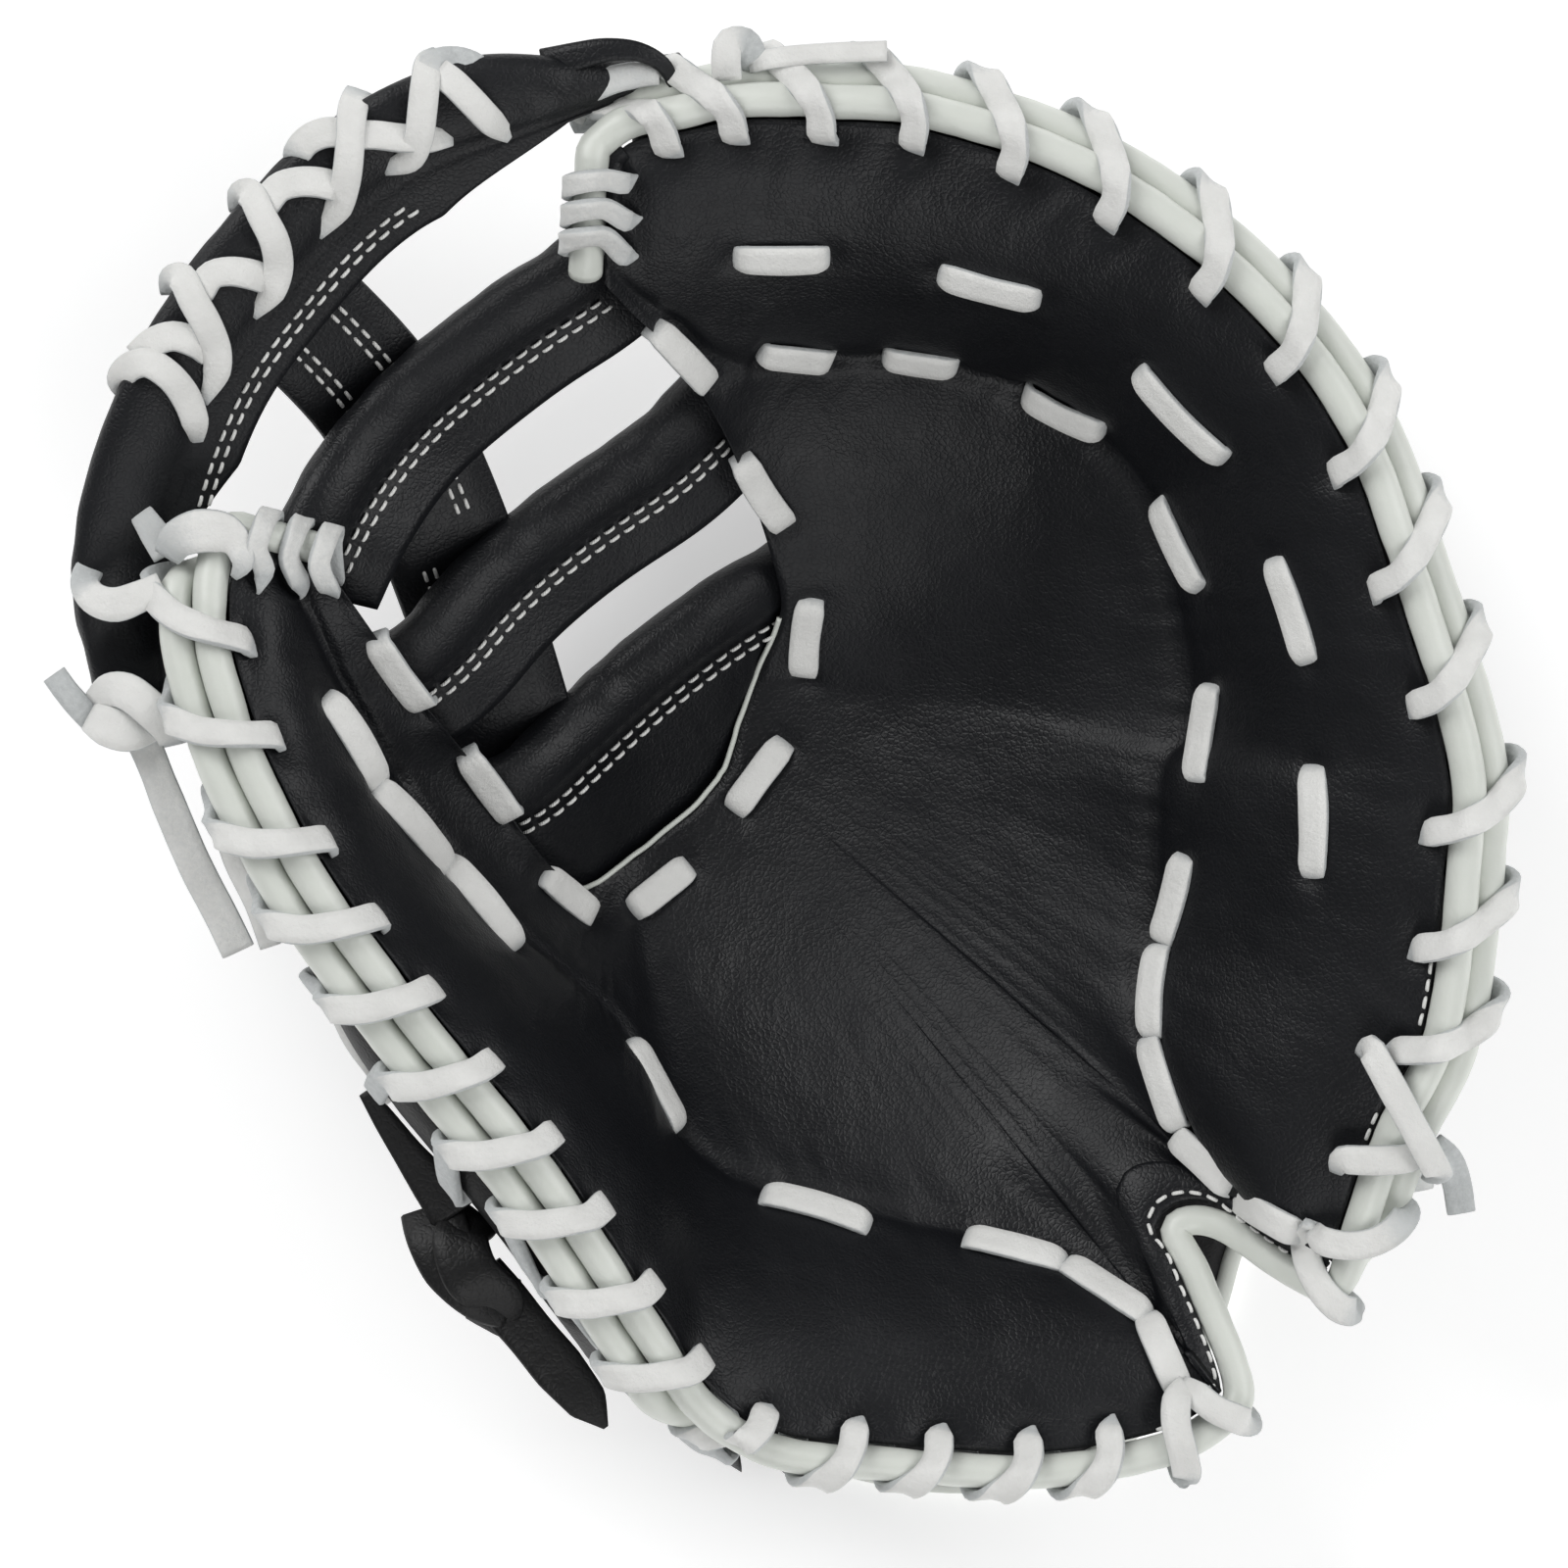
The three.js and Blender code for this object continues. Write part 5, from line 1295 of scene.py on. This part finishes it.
RUNS = [
    [[140, 364, 0.4, 0, 1], [155, 350, 1, 0, 1], [177, 343, 1.2, 0, 1], [200, 350, 1.2, 0, 1],
     [212, 358, 0, 0, 1]],
    [[204, 298, 0.4, 0, 1], [216, 281, 1, 0, 1], [234, 277, 1.2, 0, 1], [256, 280, 1.2, 0, 1],
     [268, 284, 0.4, 0, 1]],
    [[270, 210, 0.4, 0, 1], [284, 192, 1, 0, 1], [302, 186, 1.2, 0, 1], [324, 186, 1.2, 0, 1],
     [342, 190, 1, 0, 1]],
    [[306, 166, -5, 1, 1], [304, 156, -0.5, 0.8, 1], [314, 143, 1, 0.1, 1], [334, 135, 1.2, 0, 1],
     [356, 137, 1.2, 0, 1], [385, 138, 1.2, 0, 1], [410, 141, 1.3, 0, 1], [440, 142, 1, 0.2, 0.9],
     [460, 142, -1, 0.8, 0.5]],
    [[434, 82, 1, 0.5, 1], [442, 66, 1, 0.8, 1], [462, 59, 0, 1, 0.8], [482, 64, -1, 1, 0.8],
     [497, 76, -4, 1, 0.8]],
]
on_top_bar = height_of(GRIDS["top"])
strips = [traced(rows, on_top_bar, roll=-0.12) for rows in TURNS + RUNS]
lace_piece("top_bar_whipping", strips, ["top_bar_lace"])

# %% [markdown]
# ## Knots
# Each lace ends in a knot with loose tails. A real knot is tied. These are short strips laid over each
# other, as the knots look from above.

# %% Ties
WEB_TIE = [
    [[165, 598, 90, 0, 1], [142, 609, 91, 0, 1.1], [118, 617, 90, 0, 1.15], [98, 612, 88, 0.1, 1.1],
     [87, 598, 85, 0.9, 1], [92, 580, 81, 1, 1], [114, 562, 78, 1, 1], [140, 546, 78, 1, 1]],
    [[134, 503, 80, 0.7, 0.25], [143, 522, 84, 0.8, 0.8], [158, 545, 87, 0.8, 1], [170, 566, 88, 0.8, 1]],
    [[100, 716, 80, 0.5, 1], [112, 704, 84, 0, 1.1], [130, 706, 87, 0, 1.25], [155, 725, 87, 0, 1.25],
     [172, 745, 83, 0.3, 1.1], [176, 756, 78, 1, 1]],
    [[94, 732, 80, 0.4, 1.1], [110, 741, 84, 0, 1.35], [130, 746, 85, 0, 1.4], [154, 738, 82, 0.2, 1.3]],
    [[126, 752, 77, 1, 1], [104, 742, 78, 1, 0.95], [84, 724, 79, 1, 0.9], [68, 706, 80, 1, 0.85],
     [55, 688, 80, 1, 0.85]],
    [[138, 742, 80, 1, 1.1], [150, 765, 79, 0.5, 1.1], [172, 820, 77, 0.5, 1.15], [200, 885, 73, 0.45, 1.15],
     [226, 935, 70, 0.45, 1.15], [243, 970, 68, 0.45, 1.15]],
]
HEEL_TIE = [
    [[1462, 1170, 66, 1, 1], [1476, 1182, 64, 1, 1], [1486, 1205, 60, 1, 1], [1491, 1236, 57, 1, 1]],
    [[1440, 1188, 66, 0.7, 1], [1446, 1200, 64, 0.7, 1], [1448, 1212, 62, 0.7, 1]],
]
TOP_TIE = [
    [[742, 80, 93, 0, 1], [741, 60, 95, 0, 1], [744, 44, 95, 0.2, 1], [760, 42, 93, 1, 0.9],
     [768, 56, 91, 1, 0.9],
     [770, 68, 89, 1, 0.9]],
    [[765, 64, 90, 0.5, 0.7], [800, 58, 92, 0.3, 0.7], [850, 54, 93, 0, 0.7], [905, 52, 94, 0, 0.7]],
    [[588, 122, 84, 0.6, 0.6], [597, 99, 88, 0.7, 0.8], [618, 84, 90, 0.7, 0.95], [646, 77, 90.5, 0.7, 0.9],
     [672, 76, 90, 0.6, 0.7]],
]
TIP_CRESCENT = [[556, 66, 90, 0, 1], [586, 58, 92, 0, 0.9], [620, 51, 93, 0, 0.75], [652, 53, 93, 0, 0.6],
                [676, 66, 91, 0, 0.5], [687, 86, 88, 0, 0.35]]
THUMB_TIE = [
    [[373, 1114, 64, 0, 0.3], [392, 1142, 63, 0, 0.45], [416, 1176, 62, 0, 0.6], [440, 1208, 61, 0, 0.8],
     [462, 1240, 60, 0, 0.9]],
    [[440, 1234, 57, 0, 1.2], [448, 1262, 61, 0, 1.25], [464, 1292, 62, 0, 1.25], [494, 1320, 61, 0, 1.1],
     [520, 1330, 57, 0, 1]],
    [[486, 1240, 56, 0, 1], [470, 1262, 62, 0, 1.1], [480, 1300, 64, 0, 1.1], [508, 1328, 60, 0, 1],
     [496, 1352, 54, 0, 0.9]],
    [[490, 1300, 58, 0, 1], [530, 1348, 56, 0, 1], [570, 1396, 54, 0, 1], [600, 1432, 53, 0, 0.8],
     [618, 1456, 52, 0, 0.12]],
]
CORNERS = [
    [[1390, 1076, -3, 1, 0.5], [1398, 1070, 0.6, 0.3, 1], [1405, 1082, 1.8, 0, 1], [1425, 1118, 2.8, 0, 1],
     [1448, 1160, 2.2, 0, 1], [1463, 1188, 0, 0.1, 1], [1468, 1196, -4, 0.8, 1], [1460, 1192, -8, 1, 1]],
    [[1364, 1194, -2, 1, 0.5], [1370, 1184, 0.8, 0.3, 1], [1390, 1184, 1.4, 0, 1], [1415, 1184, 1, 0, 1],
     [1436, 1182, -0.5, 0.2, 1], [1445, 1177, -4, 1, 1], [1438, 1174, -8, 1, 1]],
    [[1340, 1250, -2, 0.6, 0.7], [1332, 1268, 1.2, 0, 1], [1336, 1292, 1.6, 0, 1], [1350, 1318, 1.2, 0, 1],
     [1366, 1334, -1, 0.3, 1], [1378, 1338, -4, 0.8, 1], [1376, 1334, -8, 1, 1], [1366, 1326, -11, 1, 1]],
    [[1341, 1256, -2, 0.6, 0.7], [1350, 1266, 1, 0.1, 1], [1374, 1271, 1.5, 0, 1], [1400, 1268, 1.2, 0.1, 1],
     [1422, 1256, 0.2, 0.7, 1], [1432, 1244, -3, 0.9, 1], [1434, 1236, -7, 1, 1], [1424, 1230, -10, 1, 1]],
    [[1210, 1412, -2, 0.6, 0.7], [1201, 1428, 1.2, 0, 1], [1200, 1452, 1.8, 0, 1], [1206, 1478, 1.4, 0, 1],
     [1210, 1496, -1, 0.2, 1], [1211, 1504, -4, 0.8, 1], [1208, 1502, -8, 1, 1], [1204, 1490, -11, 1, 1]],
    [[1208, 1414, -2, 0.6, 0.7], [1222, 1424, 1.2, 0, 1], [1240, 1438, 1.6, 0, 1], [1258, 1446, 1, 0, 1],
     [1268, 1450, -1.5, 0.4, 1], [1275, 1451, -5, 0.9, 1], [1268, 1446, -9, 1, 1]],
    [[172, 566, -4, 1, 1], [182, 550, 0.6, 0.7, 1.35], [202, 542, 2, 0.4, 1.5], [228, 544, 2, 0.3, 1.4],
     [243, 556, 1.2, 0.4, 1], [248, 574, 0.2, 0.7, 0.8], [240, 588, -2.5, 1, 0.3]],
]
BEHIND = [
    [[345, 1028, 70, 0.3, 1], [362, 1062, 70, 0.3, 1], [384, 1092, 70, 0.3, 1], [404, 1121, 70, 0.3, 1]],
    [[228, 842, 72, 0.3, 1], [240, 880, 72, 0.3, 1], [262, 925, 72, 0.3, 1], [276, 965, 70, 0.5, 1]],
]
lace_piece("web_lace_knot", [traced(rows, level_ground) for rows in WEB_TIE], ["web_tie"])
lace_piece("heel_lace_knot", [traced(rows, level_ground) for rows in HEEL_TIE], ["heel_tie"])
lace_piece("corner_laces", [traced(rows, rim_top, roll=0.12) for rows in CORNERS])
lace_piece("top_lace_ends", [traced(rows, level_ground) for rows in TOP_TIE])
build("bar_crescent", traced(TIP_CRESCENT, level_ground, 6.4, 3)[0], LEATHER)
lace_piece("back_lace_ends", [traced(rows, level_ground, width=4.5) for rows in BEHIND])
knot = together([traced(rows, level_ground, 10.5, 2.4)[0] for rows in THUMB_TIE])
build("thumb_leather_knot", knot, BACK_LEATHER, ["thumb_tie"])

# %% [markdown]
# ## Wrist strap
# A broad strap across the back of the wrist, with a pale binding on its outer edge. It is flat where it
# rests.

# %% Strap
STRAP_WIDTH = 42
STRAP_THICKNESS = 3
BINDING_RADIUS = 2
STRAP_ROUTE = [[0.02, -0.79], [0.14, -0.83], [0.26, -0.845], [0.37, -0.82], [0.45, -0.74],
               [0.49, -0.62], [0.54, -0.5]]
STRAP_SEATS = [[9.1, 0.3], [22.4, 0.36]]
seats = [outside_back(np.array(u), np.array(float(k)), GAP + STRAP_THICKNESS / 2) for k, u in STRAP_SEATS]
resting = np.full(len(STRAP_ROUTE), STRAP_THICKNESS / 2)
floor_points = np.column_stack([np.array(STRAP_ROUTE) * HALF[:2], resting])
strap = curve_through(np.vstack([seats[0], floor_points, seats[1]]), 2)
strap[:, 2] = np.maximum(strap[:, 2], STRAP_THICKNESS / 2)
strap_side = level_side(unit(np.gradient(strap, axis=0)))
build("wrist_strap_leather", sweep(strap, strap_side, rounded_strip(STRAP_WIDTH, STRAP_THICKNESS, 40, 14)),
      BACK_LEATHER, ["wrist_strap"])
binding = strap + strap_side * (STRAP_WIDTH / 2 + BINDING_RADIUS * 0.6)
binding[:, 2] = np.maximum(binding[:, 2], BINDING_RADIUS)
up = np.broadcast_to(UP, binding.shape)
build("wrist_strap_binding", sweep(binding[16:-8], up[16:-8], circle(BINDING_RADIUS, 14)), PIPING,
      ["strap_binding"])

# %% [markdown]
# ## Patch round the heel notch
# A second layer of leather is sewn on along the notch, with a row of thread beside the piping. Three more
# short rows of thread lie beside the piping elsewhere.

# %% Heel patch
patch_rows = edge_place(np.arange(edge_length(14.3), edge_length(19.9), 1.2))[:, None]
patch_length = np.linalg.norm(palm_face(1, patch_rows) - rim(patch_rows), axis=-1)
across = np.concatenate([[0.4], np.linspace(0.6, 11.6, 18), [11.9]])
u = across / patch_length
base = palm_face(u, patch_rows)
n = palm_normal(u, patch_rows)
height = 1.5 * np.minimum(1, (np.minimum(across, 12 - across) / 0.8) ** 0.5) + 0.15 * ripple(base, 6, 14)
build("heel_patch", slab(base + n * height[..., None], base - n * 0.6), LEATHER)
sewn = palm_face(2.6 / patch_length, patch_rows)[:, 0]
normal = palm_normal(2.6 / patch_length, patch_rows)[:, 0]
THREADS.append(stitch_line(sewn + normal * 1.55, normal))

RIM_THREADS = [[[1466, 960], [1440, 1050]], [[1422, 1140], [1395, 1180]], [[1180, 1470], [1236, 1452]]]
for first, last in edge_near(np.reshape(RIM_THREADS, (-1, 2))).reshape(-1, 2):
    spots = palm_place(np.linspace(first, last, 30), 0.6)
    THREADS.append(stitch_line(palm_face(*spots) + palm_normal(*spots) * 0.5, palm_normal(*spots)))

build("thread_stitches", together(THREADS), THREAD)

# %% [markdown]
# ## Edge of the base panel
# The palm's cut edge beside the web shows as a thin pale line.

# %% Cut edge
k = np.linspace(5.6, 26.4, 260)
cut = palm_face(1, k) + palm_normal(1, k) * 0.1
build("palm_cut_edge", sweep(cut, np.broadcast_to(UP, cut.shape), circle(0.55, 8)), PIPING)

# %% [markdown]
# ## Floor, light and camera
# The photograph has a plain white ground and soft light from above. Large lamps give the black leather its
# broad highlights.

# %% Stage
floor_mesh = bpy.data.meshes.new("floor")
SIZE = 6.0
floor_corners = [(-SIZE, -SIZE, 0), (SIZE, -SIZE, 0), (SIZE, SIZE, 0), (-SIZE, SIZE, 0)]
floor_mesh.from_pydata(floor_corners, [], [(0, 1, 2, 3)])
floor = bpy.data.objects.new("floor", floor_mesh)
bpy.context.scene.collection.objects.link(floor)
paper, paper_shader = material("white_paper", (0.95, 0.95, 0.95), 0.9)
paper_shader.inputs["Emission Color"].default_value = (1, 1, 1, 1)
paper_shader.inputs["Emission Strength"].default_value = 0.36
floor_mesh.materials.append(paper)

world = bpy.data.worlds.new("studio")
world.use_nodes = True
world.node_tree.nodes["Background"].inputs["Color"].default_value = (1, 1, 1, 1)
world.node_tree.nodes["Background"].inputs["Strength"].default_value = 0.2
bpy.context.scene.world = world
bpy.context.scene.view_settings.view_transform = "Standard"


def lamp(name, place, size, watts):
    """A square soft lamp aimed at the mitt."""
    light = bpy.data.lights.new(name, "AREA")
    light.size = size
    light.energy = watts
    lamp_object = bpy.data.objects.new(name, light)
    lamp_object.location = place
    lamp_object.rotation_euler = (Vector((0, 0, 0.05)) - Vector(place)).to_track_quat("-Z", "Y").to_euler()
    bpy.context.scene.collection.objects.link(lamp_object)


lamp("key", (-1.3, 1.3, 1.5), 1.5, 32)
lamp("fill", (1.6, 0.4, 1.4), 1.5, 19)
lamp("low", (0.3, -1.7, 1.4), 1.5, 16)

# %% Camera
SENSOR = 36
camera_data = bpy.data.cameras.new("camera")
camera_data.sensor_width = SENSOR
camera_data.lens = SENSOR * (CAMERA_HEIGHT - PX_PLANE) / (FRAME_PX * MM_PER_PX)
camera_data.clip_end = 20
camera = bpy.data.objects.new("camera", camera_data)
camera.location = (SHIFT[0] * MM, (SHIFT[1] + BELOW) * MM, CAMERA_HEIGHT * MM)
bpy.context.scene.collection.objects.link(camera)
bpy.context.scene.camera = camera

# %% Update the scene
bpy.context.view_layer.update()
